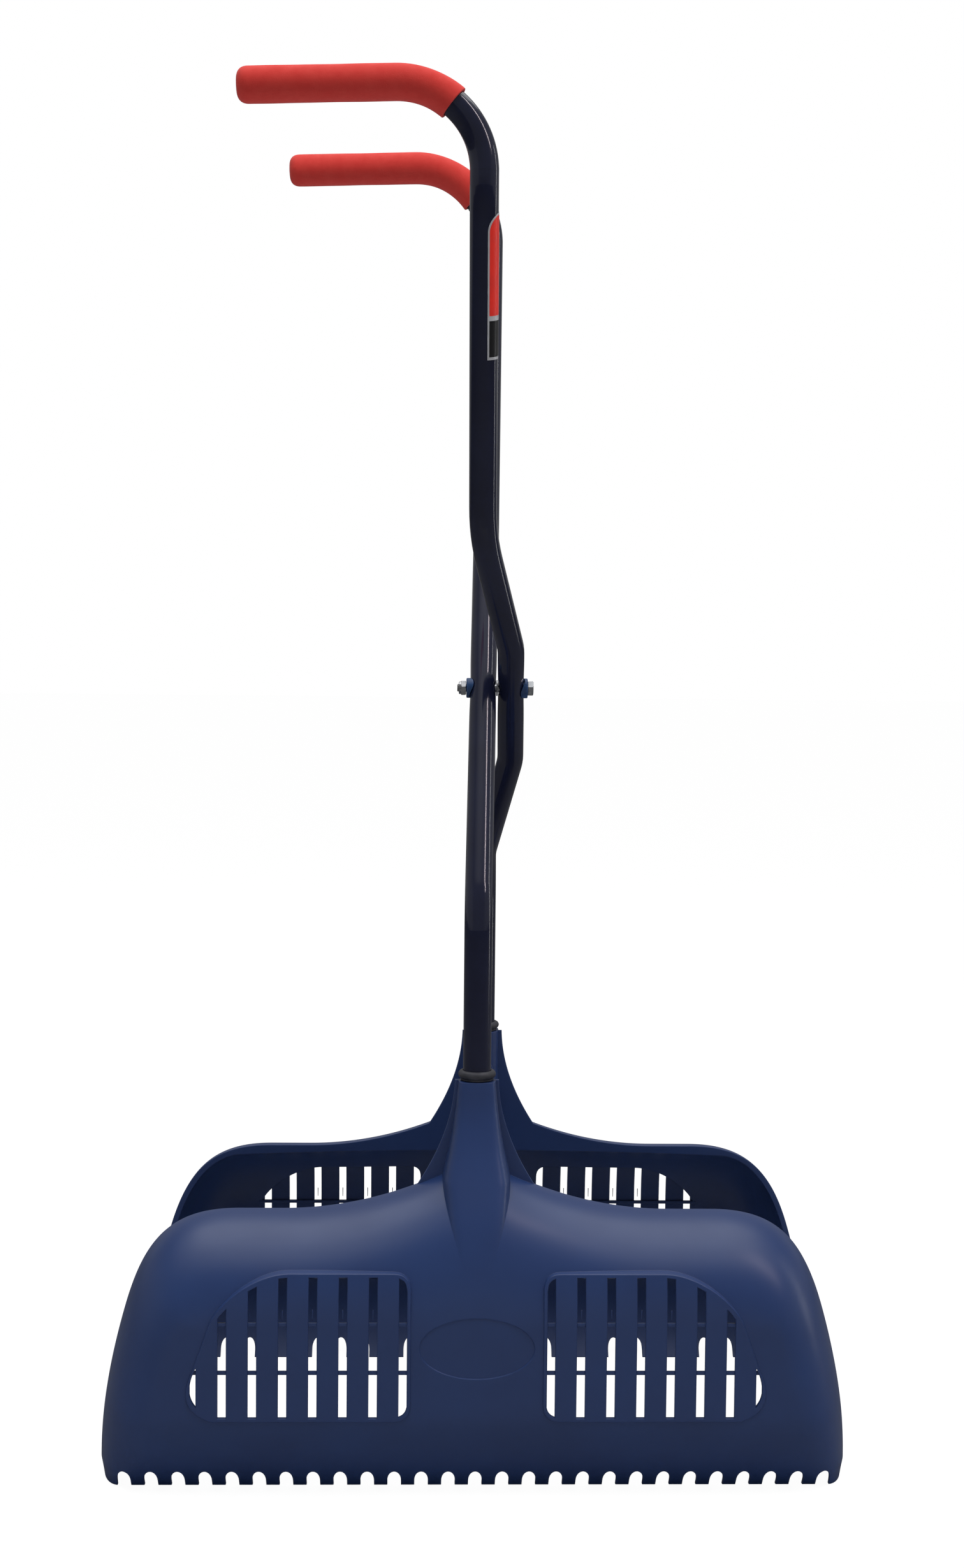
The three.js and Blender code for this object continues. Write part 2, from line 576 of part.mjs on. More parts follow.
/** The nylon ring inside the lock nut's collar. */
function lockRing(name) {
  const from = onPivot(NUT_FACE - NUT_HEX - FIT);
  const to = onPivot(NUT_END);
  const over = new THREE.Vector3(OVERCUT, 0, 0);
  const bore = bar(from.clone().add(over), to.clone().sub(over), BOLT_RADIUS + FIT, BORE_SIDES);
  return piece(name, bar(from, to, BOLT_RADIUS + FIT + LOCK_RING_WALL).subtract(bore), FINISH.nylon);
}

// ---------------------------------------------------------------- scoop
// A scoop is modelled with X across, Y outwards from its rim plane and Z up from the ground.
const BEHIND = SCOOP_DEPTH + 2 * OVERCUT; // a depth past the scoop's back
const PAD_FACE = SOCKET_DEPTH - SOCKET_RADIUS - SCREW_PAD_STAND; // where the screw's head seats

/** Half of the rim's outline, from the ground up the side and over the top to the middle. */
function halfRim(inset) {
  const path = new THREE.Path();
  const side = SCOOP_HALF_WIDTH - inset;
  const corner = CORNER_HALF_WIDTH - inset;
  const top = RIM_TOP - inset;
  const crown = RIM_CROWN - inset;
  const crownSlope = (2 * (RIM_CROWN - RIM_TOP)) / (RIM_FLAT_START - CROWN_HALF_WIDTH);
  const peak = crown + (crownSlope * CROWN_HALF_WIDTH) / 2;
  path.moveTo(side - HEEL_IN, 0);
  path.lineTo(side, HEEL_UP);
  path.quadraticCurveTo(side, CORNER_HEIGHT / 2, corner, CORNER_HEIGHT);
  path.bezierCurveTo(corner - CORNER_SLOPE * CORNER_EASE, CORNER_HEIGHT + CORNER_EASE,
    RIM_FLAT_END + CORNER_EASE, top, RIM_FLAT_END, top);
  path.lineTo(RIM_FLAT_START, top);
  path.quadraticCurveTo((RIM_FLAT_START + CROWN_HALF_WIDTH) / 2, top, CROWN_HALF_WIDTH, crown);
  path.quadraticCurveTo(CROWN_HALF_WIDTH / 2, peak, 0, peak);
  return path;
}

/** Points of the whole rim, with the direction into the scoop and the local rounding at each. */
function rimStations(inset) {
  const path = halfRim(inset);
  const half = path.curves.flatMap((curve, i) => {
    const steps = RIM_STEPS[i];
    return Array.from({ length: steps }, (_, j) => {
      const point = curve.getPoint(j / steps);
      if (point.y < HEEL_UP) return { point, inward: new THREE.Vector2(-1, 0) };
      if (point.x <= RIM_FLAT_END) return { point, inward: new THREE.Vector2(0, -1) };
      const tangent = curve.getTangent(j / steps);
      return { point, inward: new THREE.Vector2(-Math.abs(tangent.y), -Math.abs(tangent.x)).normalize() };
    });
  });
  const last = path.curves.at(-1).getPoint(1);
  const middle = { point: last, inward: new THREE.Vector2(0, -1) };
  const mirrored = half.map(({ point, inward }) => ({
    point: new THREE.Vector2(-point.x, point.y), inward: new THREE.Vector2(-inward.x, inward.y) }));
  return [...half, middle, ...mirrored.reverse()].map(({ point, inward }) => {
    const share = Math.abs(inward.y);
    const rise = SHELF_RISE + Math.max(0, point.y + inset - RIM_TOP);
    return { point, inward, round: SIDE_ROUND + (rise - SIDE_ROUND) * share ** 2 - inset };
  });
}

/** How far the lip has curled in at a height. */
function lipDrop(height) {
  return LIP_INSET * Math.max(0, 1 - height / LIP_HEIGHT) ** LIP_CURL;
}

/** Run of the lip's curve in depth for each millimetre down. */
function lipSlope(height) {
  return (LIP_CURL * lipDrop(height)) / Math.max(LIP_HEIGHT - height, OVERCUT);
}

/** Depth of the scoop's outer wall at a height, less an inset square to the wall. */
function wallDepth(height, inset) {
  return SCOOP_DEPTH - lipDrop(height) - inset * Math.hypot(1, lipSlope(height));
}

/** The side view of the scoop's outer wall, moved inwards by an inset. */
function wallProfile(inset) {
  const curve = Array.from({ length: LIP_STEPS + 1 }, (_, i) => {
    const height = LIP_HEIGHT * (1 - i / LIP_STEPS);
    const slope = lipSlope(height);
    const length = Math.hypot(1, slope);
    return [SCOOP_DEPTH - lipDrop(height) - inset / length, height + (inset * slope) / length];
  });
  const [footY, footZ] = curve.at(-1);
  const endSlope = (LIP_CURL * LIP_INSET) / LIP_HEIGHT;
  const over = inset > 0 ? OVERCUT : 0;
  const drop = footZ + over;
  const points = [[-over, SOCKET_TOP], [SCOOP_DEPTH - inset, SOCKET_TOP], ...curve];
  if (inset > 0) points.push([footY - drop * endSlope, -over]);
  return [...points, [-over, -over]];
}

/** A side view in Y and Z, given the scoop's whole width. */
function acrossScoop(outline) {
  const width = 2 * (SCOOP_HALF_WIDTH + OVERCUT);
  const shape = new THREE.Shape(outline.map(([y, z]) => new THREE.Vector2(y, z)));
  const geometry = new THREE.ExtrudeGeometry(shape, { depth: width, bevelEnabled: false });
  geometry.applyMatrix4(new THREE.Matrix4().makeBasis(new THREE.Vector3(0, 1, 0), new THREE.Vector3(0, 0, 1),
    new THREE.Vector3(1, 0, 0)));
  geometry.translate(-width / 2, 0, 0);
  return solid(geometry);
}

/** The space behind the pads' front faces, moved inwards by an inset. */
function behindPads(inset) {
  const face = SCOOP_DEPTH + PAD_STAND - inset;
  const lean = Array.from({ length: LEAN_STEPS + 1 }, (_, i) => {
    const share = i / LEAN_STEPS;
    return [face - PAD_LEAN * share ** 2, PAD_LEAN_FROM + (WINDOW_TOP - PAD_LEAN_FROM) * share];
  });
  return acrossScoop([[OVERCUT, 0], [face, 0], ...lean, [OVERCUT, WINDOW_TOP]]);
}

/** The space inside the scoop's outer wall, moved inwards by an inset. */
function scoopBody(inset) {
  const stations = rimStations(inset);
  const foot = inset > 0 ? -2 * OVERCUT : -OVERCUT;
  const rings = Array.from({ length: SHELL_STEPS + 1 }, (_, j) => {
    const angle = (Math.PI / 2) * (j / SHELL_STEPS);
    const points = stations.map(({ point, inward, round }) => {
      const moved = point.clone().addScaledVector(inward, round * (1 - Math.cos(angle)));
      const depth = (wallDepth(moved.y, inset) + OVERCUT) * Math.sin(angle);
      return new THREE.Vector3(moved.x, depth, moved.y);
    });
    const low = (p) => new THREE.Vector3(p.x, p.y, foot);
    return [low(points[0]), ...points, low(points.at(-1))];
  });
  const atDepth = (ring, depth) => ring.map((p) => new THREE.Vector3(p.x, depth, p.z));
  const behind = atDepth(rings.at(-1), SCOOP_DEPTH + 2 * OVERCUT);
  return loft([atDepth(rings[0], -2 * OVERCUT), ...rings, behind]).intersect(acrossScoop(wallProfile(inset)));
}

/** The outline of one slotted window, moved inwards by an inset. */
function windowShape(inset) {
  const inner = WINDOW_INNER + inset;
  const top = WINDOW_TOP - inset;
  const bottom = WINDOW_BOTTOM + inset;
  const outer = WINDOW_OUTER - inset;
  const corner = WINDOW_CORNER - inset;
  const [cheekIn, cheekUp] = WINDOW_CHEEK;
  const shape = new THREE.Shape();
  shape.moveTo(inner + corner, top);
  shape.lineTo(WINDOW_TOP_END, top);
  shape.bezierCurveTo(...WINDOW_SHOULDER.flatMap(([across, down]) => [outer - across, top - down]));
  shape.lineTo(outer - cheekIn, bottom + cheekUp);
  shape.bezierCurveTo(...WINDOW_HEEL.flatMap(([across, up]) => [outer - across, bottom + up]));
  shape.lineTo(inner + corner, bottom);
  shape.quadraticCurveTo(inner, bottom, inner, bottom + corner);
  shape.lineTo(inner, top - corner);
  shape.quadraticCurveTo(inner, top, inner + corner, top);
  return shape;
}

/** A plate's mirror image across the middle, joined to it. */
function bothSides(body) {
  return body.add(body.mirror([1, 0, 0]));
}

/** The upright slots of both windows, as cutting bars. */
function slotCutters() {
  const bars = Array.from({ length: SLOT_COUNT }, (_, i) => {
    const middle = FIRST_SLOT + i * SLOT_PITCH;
    return rectangle(middle - SLOT_WIDTH / 2, middle + SLOT_WIDTH / 2, 0, RIM_TOP);
  });
  const inWindow = plate(windowShape(WINDOW_FRAME), OVERCUT, BEHIND, WINDOW_STEPS);
  return bothSides(plate(bars, 0, BEHIND).intersect(inWindow));
}

/** A rectangle in X and Z. */
function rectangle(left, right, low, high) {
  const corners = [[left, low], [right, low], [right, high], [left, high]];
  return new THREE.Shape(corners.map((p) => new THREE.Vector2(...p)));
}

/** The round-topped gaps between the teeth, as one cutting comb. */
function toothCutters() {
  const half = TOOTH_GAP / 2;
  const spring = TOOTH_DEPTH - half; // where the round top of a gap starts
  const crownReach = (4 / 3) * half; // reach of the control points that round it
  const gaps = Array.from({ length: TOOTH_GAPS }, (_, i) => {
    const middle = (i - (TOOTH_GAPS - 1) / 2) * TOOTH_PITCH;
    const shape = new THREE.Shape();
    const [left, right] = [middle - half, middle + half];
    shape.moveTo(right, -OVERCUT);
    shape.lineTo(right, spring);
    shape.bezierCurveTo(right, spring + crownReach, left, spring + crownReach, left, spring);
    shape.lineTo(left, -OVERCUT);
    return shape;
  });
  const from = SCOOP_DEPTH - LIP_INSET - TOOTH_CUT; // in front of the slanting lip
  return plate(gaps, from, SCOOP_DEPTH, TOOTH_STEPS);
}

/** The flat fin of the neck, which spreads down to the rim. */
function finShape() {
  const shape = new THREE.Shape();
  const foot = RIM_TOP - RIM_FLANGE_TOP;
  const narrow = FIN_TOP_HALF_WIDTH + FIN_CURVE_OUT;
  shape.moveTo(-FIN_TOP_HALF_WIDTH, SOCKET_TOP);
  shape.quadraticCurveTo(-narrow, SOCKET_TOP - FIN_CURVE_DROP, -FIN_FOOT_HALF_WIDTH, FIN_FOOT_HEIGHT);
  shape.lineTo(-FIN_FOOT_HALF_WIDTH, foot);
  shape.lineTo(FIN_FOOT_HALF_WIDTH, foot);
  shape.lineTo(FIN_FOOT_HALF_WIDTH, FIN_FOOT_HEIGHT);
  shape.quadraticCurveTo(narrow, SOCKET_TOP - FIN_CURVE_DROP, FIN_TOP_HALF_WIDTH, SOCKET_TOP);
  return shape;
}

/** The flat flange just behind the rim: the outline less the scoop's mouth. */
function rimFlange() {
  const outline = rimStations(FIT).map(({ point }) => point);
  const mouth = new THREE.Shape();
  const side = SCOOP_HALF_WIDTH - RIM_FLANGE_SIDE;
  const corner = CORNER_HALF_WIDTH - RIM_FLANGE_SIDE;
  const top = RIM_TOP - RIM_FLANGE_TOP;
  mouth.moveTo(0, -OVERCUT);
  mouth.lineTo(side - HEEL_IN, -OVERCUT);
  mouth.lineTo(side, HEEL_UP);
  mouth.quadraticCurveTo(side, CORNER_HEIGHT / 2, corner, CORNER_HEIGHT);
  mouth.bezierCurveTo(corner - CORNER_SLOPE * MOUTH_EASE_UP, CORNER_HEIGHT + MOUTH_EASE_UP,
    MOUTH_FLAT + MOUTH_EASE_IN, top, MOUTH_FLAT, top);
  mouth.quadraticCurveTo(MOUTH_FLAT / 2, top + MOUTH_ARCH, 0, top + MOUTH_ARCH);
  const opening = bothSides(plate(mouth, -OVERCUT, RIM_FLANGE + OVERCUT, OUTLINE_STEPS));
  return plate(new THREE.Shape(outline), 0, RIM_FLANGE).subtract(opening);
}

/** Depth of the scoop's curved top at a height, over the middle. */
function shelfDepth(height) {
  const rise = SHELF_RISE + RIM_CROWN - RIM_TOP;
  const share = THREE.MathUtils.clamp((RIM_CROWN - height) / rise, 0, 1);
  return SCOOP_DEPTH * Math.sqrt(1 - (1 - share) ** 2);
}

/** The spine: a round neck above that flattens into a ridge over the shelf and dies into the panel. */
function spine() {
  const neckDepth = SOCKET_DEPTH + SOCKET_RADIUS;
  const station = ({ wider, above }, depth) => (
    new THREE.Vector3(SOCKET_RADIUS + wider, depth, RIM_CROWN + above));
  const along = new THREE.CatmullRomCurve3([
    new THREE.Vector3(SOCKET_RADIUS, neckDepth, SOCKET_TOP),
    station(SPINE_WAIST, neckDepth + SPINE_WAIST.deeper),
    station(SPINE_FLARE, neckDepth + SPINE_FLARE.deeper),
    ...SPINE_ON_SHELF.map((place) => station(place, shelfDepth(RIM_CROWN + place.above) + SPINE_STAND)),
    station(SPINE_FOOT, SCOOP_DEPTH - SCOOP_WALL / 2),
  ]);
  const [lengthSteps, sectionSteps] = SPINE_STEPS;
  const power = 2 / SPINE_SQUARENESS;
  const rings = along.getPoints(lengthSteps).map(({ x: halfWidth, y: depth, z: height }) => (
    Array.from({ length: sectionSteps + 1 }, (_, i) => {
      const angle = (Math.PI * i) / sectionSteps;
      const across = Math.cos(angle);
      const x = halfWidth * Math.sign(across) * Math.abs(across) ** power;
      return new THREE.Vector3(x, depth * Math.sin(angle) ** power, height);
    })));
  return loft(rings.reverse());
}

/** The neck: a round socket with a pad for its screw, and the fin that spreads down to the rim. */
function neck() {
  const socket = bar(new THREE.Vector3(0, SOCKET_DEPTH, TUBE_FOOT_HEIGHT - SOCKET_FLOOR),
    new THREE.Vector3(0, SOCKET_DEPTH, SOCKET_TOP), SOCKET_RADIUS);
  const onScrew = (depth) => new THREE.Vector3(0, depth, SCREW_HEIGHT);
  const pad = bar(onScrew(PAD_FACE), onScrew(0), SCREW_PAD_RADIUS);
  return socket.add(pad).add(plate(finShape(), 0, FIN_THICKNESS, OUTLINE_STEPS));
}

/** The space for the tube's foot and the hole for the screw. */
function neckBores() {
  const bore = bar(new THREE.Vector3(0, SOCKET_DEPTH, TUBE_FOOT_HEIGHT - FIT),
    new THREE.Vector3(0, SOCKET_DEPTH, SOCKET_TOP + OVERCUT), TUBE_RADIUS + FIT);
  const screwHole = bar(new THREE.Vector3(0, PAD_FACE - OVERCUT, SCREW_HEIGHT),
    new THREE.Vector3(0, SOCKET_DEPTH, SCREW_HEIGHT), SCREW_RADIUS + FIT, BORE_SIDES);
  return bore.add(screwHole);
}

/** The part of a solid that lies within the outlines of the windows, moved inwards by an inset. */
function inWindows(body, inset) {
  return bothSides(plate(windowShape(inset), OVERCUT, BEHIND, WINDOW_STEPS)).intersect(body);
}

/** The ribs that cross the slots of both windows, set back from the pads' faces. */
function crossRibs() {
  const bars = RIB_HEIGHTS.map((height) => (
    rectangle(WINDOW_INNER, WINDOW_OUTER, height - RIB_THICKNESS / 2, height + RIB_THICKNESS / 2)));
  const ribs = inWindows(bothSides(plate(bars, 0, BEHIND)), 0);
  return ribs.intersect(behindPads(SCOOP_WALL / 2)).subtract(behindPads(SCOOP_WALL + RIB_DEPTH));
}

/** One moulded scoop, in its own frame. */
function scoopSolid() {
  const outer = scoopBody(0).add(inWindows(behindPads(0), 0));
  const inner = scoopBody(SCOOP_WALL).add(inWindows(behindPads(SCOOP_WALL), SCOOP_WALL));
  const badge = new THREE.Shape();
  badge.absellipse(0, BADGE_HEIGHT, BADGE_WIDTH / 2, BADGE_RISE / 2, 0, 2 * Math.PI);
  const shell = outer.add(spine()).subtract(inner)
    .subtract(plate(badge, OVERCUT, BEHIND, BADGE_STEPS).subtract(scoopBody(BADGE_RECESS)))
    .subtract(slotCutters())
    .add(crossRibs())
    .subtract(toothCutters());
  return shell.add(neck()).add(rimFlange()).subtract(neckBores());
}

/** The pan-head screw that fixes a scoop on its tube, in the scoop's frame. */
function socketScrew(name) {
  const face = PAD_FACE - FIT;
  const profile = [[0, 0], [SCREW_HEAD_RADIUS, 0], [SCREW_HEAD_RADIUS, SCREW_HEAD - SCREW_HEAD_EDGE],
    [SCREW_HEAD_RADIUS - SCREW_HEAD_EDGE, SCREW_HEAD], [0, SCREW_HEAD]];
  const head = turned(profile, new THREE.Vector3(0, face, SCREW_HEIGHT), new THREE.Vector3(0, -1, 0));
  const shank = bar(new THREE.Vector3(0, face - OVERCUT, SCREW_HEIGHT),
    new THREE.Vector3(0, face + SCREW_LENGTH, SCREW_HEIGHT), SCREW_RADIUS, BORE_SIDES);
  return piece(name, head.add(shank), FINISH.zinc);
}

// ---------------------------------------------------------------- assembly
const object = new THREE.Group();
object.add(steelTube('tube_stepped', FRONT_HANDLE, STEP), steelTube('tube_straight', REAR_HANDLE, 0));
object.add(grip('grip_front', FRONT_HANDLE), grip('grip_rear', REAR_HANDLE));
object.add(endPlug('end_plug_front', FRONT_HANDLE), endPlug('end_plug_rear', REAR_HANDLE));
object.add(collar('socket_collar_rear', FRONT_HANDLE), collar('socket_collar_front', REAR_HANDLE));
object.add(label('tube_label'));

const scoop = scoopSolid();
const rear = new THREE.Group();
rear.position.set(SCOOP_SHIFT, RIM_REACH, 0);
rear.add(piece('scoop_rear', scoop, FINISH.scoop), socketScrew('socket_screw_rear'));
const front = new THREE.Group();
front.position.set(-SCOOP_SHIFT, -RIM_REACH, 0);
front.rotation.z = Math.PI;
front.add(piece('scoop_front', scoop, FINISH.scoop), socketScrew('socket_screw_front'));
object.add(rear, front);

object.add(saddleWasher('saddle_washer_head', FRONT_HANDLE, STEP, 1));
object.add(saddleWasher('saddle_washer_nut', REAR_HANDLE, 0, -1));
object.add(spacer('pivot_spacer'), pivotBolt('pivot_bolt'), pivotNut('pivot_nut'), lockRing('nut_lock_ring'));

export default object;
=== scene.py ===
"""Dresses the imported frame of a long-handled leaf grabber and sets up its studio and camera.

Each piece is a parametric surface made as whole arrays of points in millimetres, X across the scoops,
Y from the front scoop to the rear one and Z up, and is written to Blender in metres.
"""

import logging
import math
from collections.abc import Callable, Sequence
from dataclasses import dataclass
from enum import Enum
from functools import partial

import bmesh
import bpy
import numpy as np
from mathutils import Matrix, Vector
from numpy.typing import NDArray


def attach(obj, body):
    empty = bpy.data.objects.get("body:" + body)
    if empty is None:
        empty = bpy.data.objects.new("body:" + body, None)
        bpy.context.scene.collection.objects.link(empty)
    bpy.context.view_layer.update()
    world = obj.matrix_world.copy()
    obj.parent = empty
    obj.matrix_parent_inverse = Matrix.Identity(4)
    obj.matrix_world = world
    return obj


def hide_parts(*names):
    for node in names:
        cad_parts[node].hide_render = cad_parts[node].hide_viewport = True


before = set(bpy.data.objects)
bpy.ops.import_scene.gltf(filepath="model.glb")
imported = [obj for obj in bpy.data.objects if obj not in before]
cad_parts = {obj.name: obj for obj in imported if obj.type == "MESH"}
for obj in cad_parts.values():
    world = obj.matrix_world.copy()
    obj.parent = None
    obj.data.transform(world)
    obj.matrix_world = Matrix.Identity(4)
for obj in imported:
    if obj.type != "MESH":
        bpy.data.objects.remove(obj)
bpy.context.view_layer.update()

Array = NDArray[np.float64]
Outline = Callable[[float], Array]
Face = Callable[[Array], Array] | float
Pairs = tuple[tuple[float, float], ...]

LOG = logging.getLogger("leaf_grabber")
MM = 0.001  # one millimetre in Blender's metres
WELD = 1e-4  # mm, points closer than this are one
FIT = 0.3  # mm, clearance between two pieces that touch
SMOOTH_BELOW = math.radians(32)  # edges that turn less than this shade as one surface
MIRROR = np.array((-1.0, 1.0, 1.0))  # takes one half of a scoop to the other


class Body(Enum):
    """The two bodies that turn about the pivot."""

    STRAIGHT = "straight_arm"
    STEPPED = "stepped_arm"


class Slot(Enum):
    """The material slots that the record names."""

    PAINT = "tube_paint"
    FOAM = "grip_foam"
    PLUG = "end_plug"
    COLLAR = "collar"
    LABEL = "label"
    SCOOP = "scoop_plastic"
    ZINC = "zinc"
    SADDLE = "saddle"
    NYLON = "nylon"


class Join(Enum):
    """How one closed surface is combined with another."""

    ADD = "UNION"
    CUT = "DIFFERENCE"


# ---------------------------------------------------------------- finishes
@dataclass(frozen=True)
class Finish:
    """A surface's colours, gloss and fine relief; lengths are in millimetres."""

    name: str
    colour: str
    shade: str
    roughness: float
    spread: float
    grain: float
    relief: float
    patch: float
    metallic: float = 0.0
    coat: float = 0.0
    sheen: float = 0.0
    cell: float = 0.0
    cell_depth: float = 0.0
    edge: float = 0.0


# Gloss polyester over steel: deep, wet reflections with the faint waviness of a sprayed coat.
PAINTED_STEEL = Finish(
    "powder_coated_steel_navy", "#171B31", "#12152A", 0.14, 0.02, 4.0, 0.0016, 40.0, coat=0.4
)
# Moulded polypropylene: a soft, even sheen over fine spark texture, and slow changes of gloss.
POLYPROPYLENE = Finish("polypropylene_navy", "#263A67", "#243763", 0.33, 0.04, 0.45, 0.012, 60.0, edge=0.7)
# Nitrile foam: matte red with open pores and soft mottling.
FOAM = Finish(
    "nitrile_foam_red", "#C93730", "#C5342E", 0.88, 0.06, 0.9, 0.05, 9.0,
    sheen=0.06, cell=1.3, cell_depth=0.06,
)
# Bright zinc plate: a cool, slightly hazy metal with fine turning marks.
ZINC = Finish("zinc_plated_steel", "#C9CCD0", "#B4B7BB", 0.28, 0.08, 0.5, 0.006, 3.0, metallic=1.0, edge=0.25)
# Glass-filled nylon of the saddle washers: dull mid-blue with a dry bloom.
BLUE_NYLON = Finish("nylon_blue", "#22426E", "#1B385F", 0.45, 0.06, 0.6, 0.012, 5.0, edge=0.4)
# Natural nylon of the lock ring: milky and smooth.
NATURAL_NYLON = Finish("nylon_natural", "#E8E6DC", "#DEDBCE", 0.42, 0.05, 0.8, 0.006, 4.0)
# Soft PVC of the collar beads: dark grey with a low, rubbery sheen.
GREY_PVC = Finish("soft_pvc_dark_grey", "#3A3B42", "#2F3036", 0.50, 0.06, 0.5, 0.012, 8.0)
# Polyethylene of the end plugs: waxy black.
BLACK_POLYETHYLENE = Finish("polyethylene_black", "#1B1B1D", "#232325", 0.50, 0.05, 0.7, 0.01, 6.0)
# Printed vinyl film: smooth colour under a thin clear laminate.
RED_VINYL = Finish("vinyl_film_red", "#EC2A1C", "#E2271B", 0.34, 0.04, 0.8, 0.004, 14.0, coat=0.1)
SILVER_VINYL = Finish(
    "vinyl_film_silver", "#C4C6CA", "#B5B7BC", 0.40, 0.05, 0.6, 0.004, 10.0, metallic=0.3, coat=0.1
)
BLACK_VINYL = Finish("vinyl_film_black", "#18181C", "#141417", 0.34, 0.04, 0.8, 0.004, 14.0, coat=0.1)


def linear(colour: str) -> tuple[float, float, float, float]:
    """A hex sRGB colour as linear light: c / 12.92 when dark, else ((c + 0.055) / 1.055) ^ 2.4."""
    value = np.array([int(colour[i : i + 2], 16) for i in (1, 3, 5)]) / 255
    return (*np.where(value <= 0.04045, value / 12.92, ((value + 0.055) / 1.055) ** 2.4).tolist(), 1.0)


def node(
    tree: bpy.types.NodeTree, kind: str, sockets: dict | None = None, **settings: str | int
) -> bpy.types.Node:
    """Adds one node to a tree.

    Args:
        tree: The material's or world's nodes.
        kind: Blender's name for the node.
        sockets: Values, or other nodes' outputs to link, by input name or number.
        **settings: The node's own settings.

    Returns:
        The new node.
    """
    made = tree.nodes.new(kind)
    for key, value in settings.items():
        setattr(made, key, value)
    for key, value in (sockets or {}).items():
        if isinstance(value, bpy.types.NodeSocket):
            tree.links.new(value, made.inputs[key])
        else:
            made.inputs[key].default_value = value
    return made


def bare_tree(owner: bpy.types.Material | bpy.types.World) -> bpy.types.NodeTree:
    """Turns on the nodes of a material or a world, and clears them.

    Args:
        owner: The material or the world.

    Returns:
        Its empty tree.
    """
    owner.use_nodes = True
    owner.node_tree.nodes.clear()
    return owner.node_tree


def material_of(finish: Finish) -> bpy.types.Material:
    """Makes the material of a finish, or finds the one already made.

    Colour and roughness drift over patches, and the grain and any open cells stand in the relief. All
    patterns are in object space at their real size.

    Args:
        finish: Colours, gloss and relief.

    Returns:
        The procedural material.
    """
    known = bpy.data.materials.get(finish.name)
    if known:
        return known
    material = bpy.data.materials.new(finish.name)
    tree = bare_tree(material)
    place = node(tree, "ShaderNodeTexCoord").outputs["Object"]
    patch, grain = (
        node(
            tree,
            "ShaderNodeTexNoise",
            {"Vector": place, "Scale": 1 / (size * MM), "Detail": detail, "Roughness": fineness},
        ).outputs["Fac"]
        for size, detail, fineness in ((finish.patch, 3.0, 0.55), (finish.grain, 2.0, 0.5))
    )
    drift = node(tree, "ShaderNodeMapRange", {"Value": patch, "From Min": 0.35, "From Max": 0.65})
    shades = {"Factor": drift.outputs["Result"], 6: linear(finish.colour), 7: linear(finish.shade)}
    colour = node(tree, "ShaderNodeMix", shades, data_type="RGBA")
    gloss_sockets = {
        "Value": patch,
        "From Min": 0.3,
        "From Max": 0.7,
        "To Min": finish.roughness - finish.spread,
        "To Max": finish.roughness + finish.spread,
    }
    gloss = node(tree, "ShaderNodeMapRange", gloss_sockets)
    relief = {"Height": grain, "Distance": finish.relief * MM, "Strength": 1.0}
    if finish.edge:
        rounded_edge = node(tree, "ShaderNodeBevel", {"Radius": finish.edge * MM}, samples=6)
        relief["Normal"] = rounded_edge.outputs["Normal"]
    bump = node(tree, "ShaderNodeBump", relief)
    if finish.cell:
        cells = node(tree, "ShaderNodeTexVoronoi", {"Vector": place, "Scale": 1 / (finish.cell * MM)})
        pores = node(
            tree,
            "ShaderNodeMapRange",
            {"Value": cells.outputs["Distance"], "From Min": 0.05, "From Max": 0.4},
            interpolation_type="SMOOTHSTEP",
        )
        depth = {"Height": pores.outputs["Result"], "Distance": finish.cell_depth * MM, "Strength": 1.0}
        bump = node(tree, "ShaderNodeBump", {**depth, "Normal": bump.outputs["Normal"]})
    surface = node(
        tree,
        "ShaderNodeBsdfPrincipled",
        {
            "Base Color": colour.outputs[2],
            "Roughness": gloss.outputs["Result"],
            "Metallic": finish.metallic,
            "Coat Weight": finish.coat,
            "Coat Roughness": 0.08,
            "Sheen Weight": finish.sheen,
            "Sheen Roughness": 0.5,
            "Normal": bump.outputs["Normal"],
        },
    )
    node(tree, "ShaderNodeOutputMaterial", {"Surface": surface.outputs["BSDF"]})
    return material


# ---------------------------------------------------------------- curves
def unit(vector: Array) -> Array:
    """Vectors scaled to length one, along the last axis."""
    return vector / np.linalg.norm(vector, axis=-1, keepdims=True)


def points_of(*axes: Array | float) -> Array:
    """Points with these coordinates, each spread over the shape of the others."""
    return np.stack(np.broadcast_arrays(*axes), axis=-1)


def at_depth(flat: Array, depth: Array | float) -> Array:
    """Points in X and Z, set at their depth in Y."""
    return points_of(flat[..., 0], depth, flat[..., 1])


def round_angles(count: int) -> Array:
    """Evenly spaced angles of a whole turn."""
    return np.linspace(0, 2 * math.pi, count, endpoint=False)


def run_of(line: Array) -> Array:
    """Distances along a line of points, from its start."""
    return np.concatenate(([0.0], np.cumsum(np.linalg.norm(np.diff(line, axis=0), axis=1))))


def read_off(at: Array, marks: Array, rows: Array) -> Array:
    """Rows read off at places between their marks, on straight lines."""
    return np.stack([np.interp(at, marks, column) for column in rows.T], axis=-1)


def bezier(controls: Sequence[Sequence[float]], count: int) -> Array:
    """A Bezier curve: each control times its Bernstein weight C(n, k) t^k (1 - t)^(n - k).

    Args:
        controls: The n + 1 control points.
        count: How many points to give, at even steps of t from 0 to 1.

    Returns:
        The curve's points.
    """
    t = np.linspace(0, 1, count)[:, None]
    last = len(controls) - 1
    weights = [math.comb(last, k) * t**k * (1 - t) ** (last - k) for k in range(last + 1)]
    return sum(weight * np.asarray(control, float) for weight, control in zip(weights, controls))


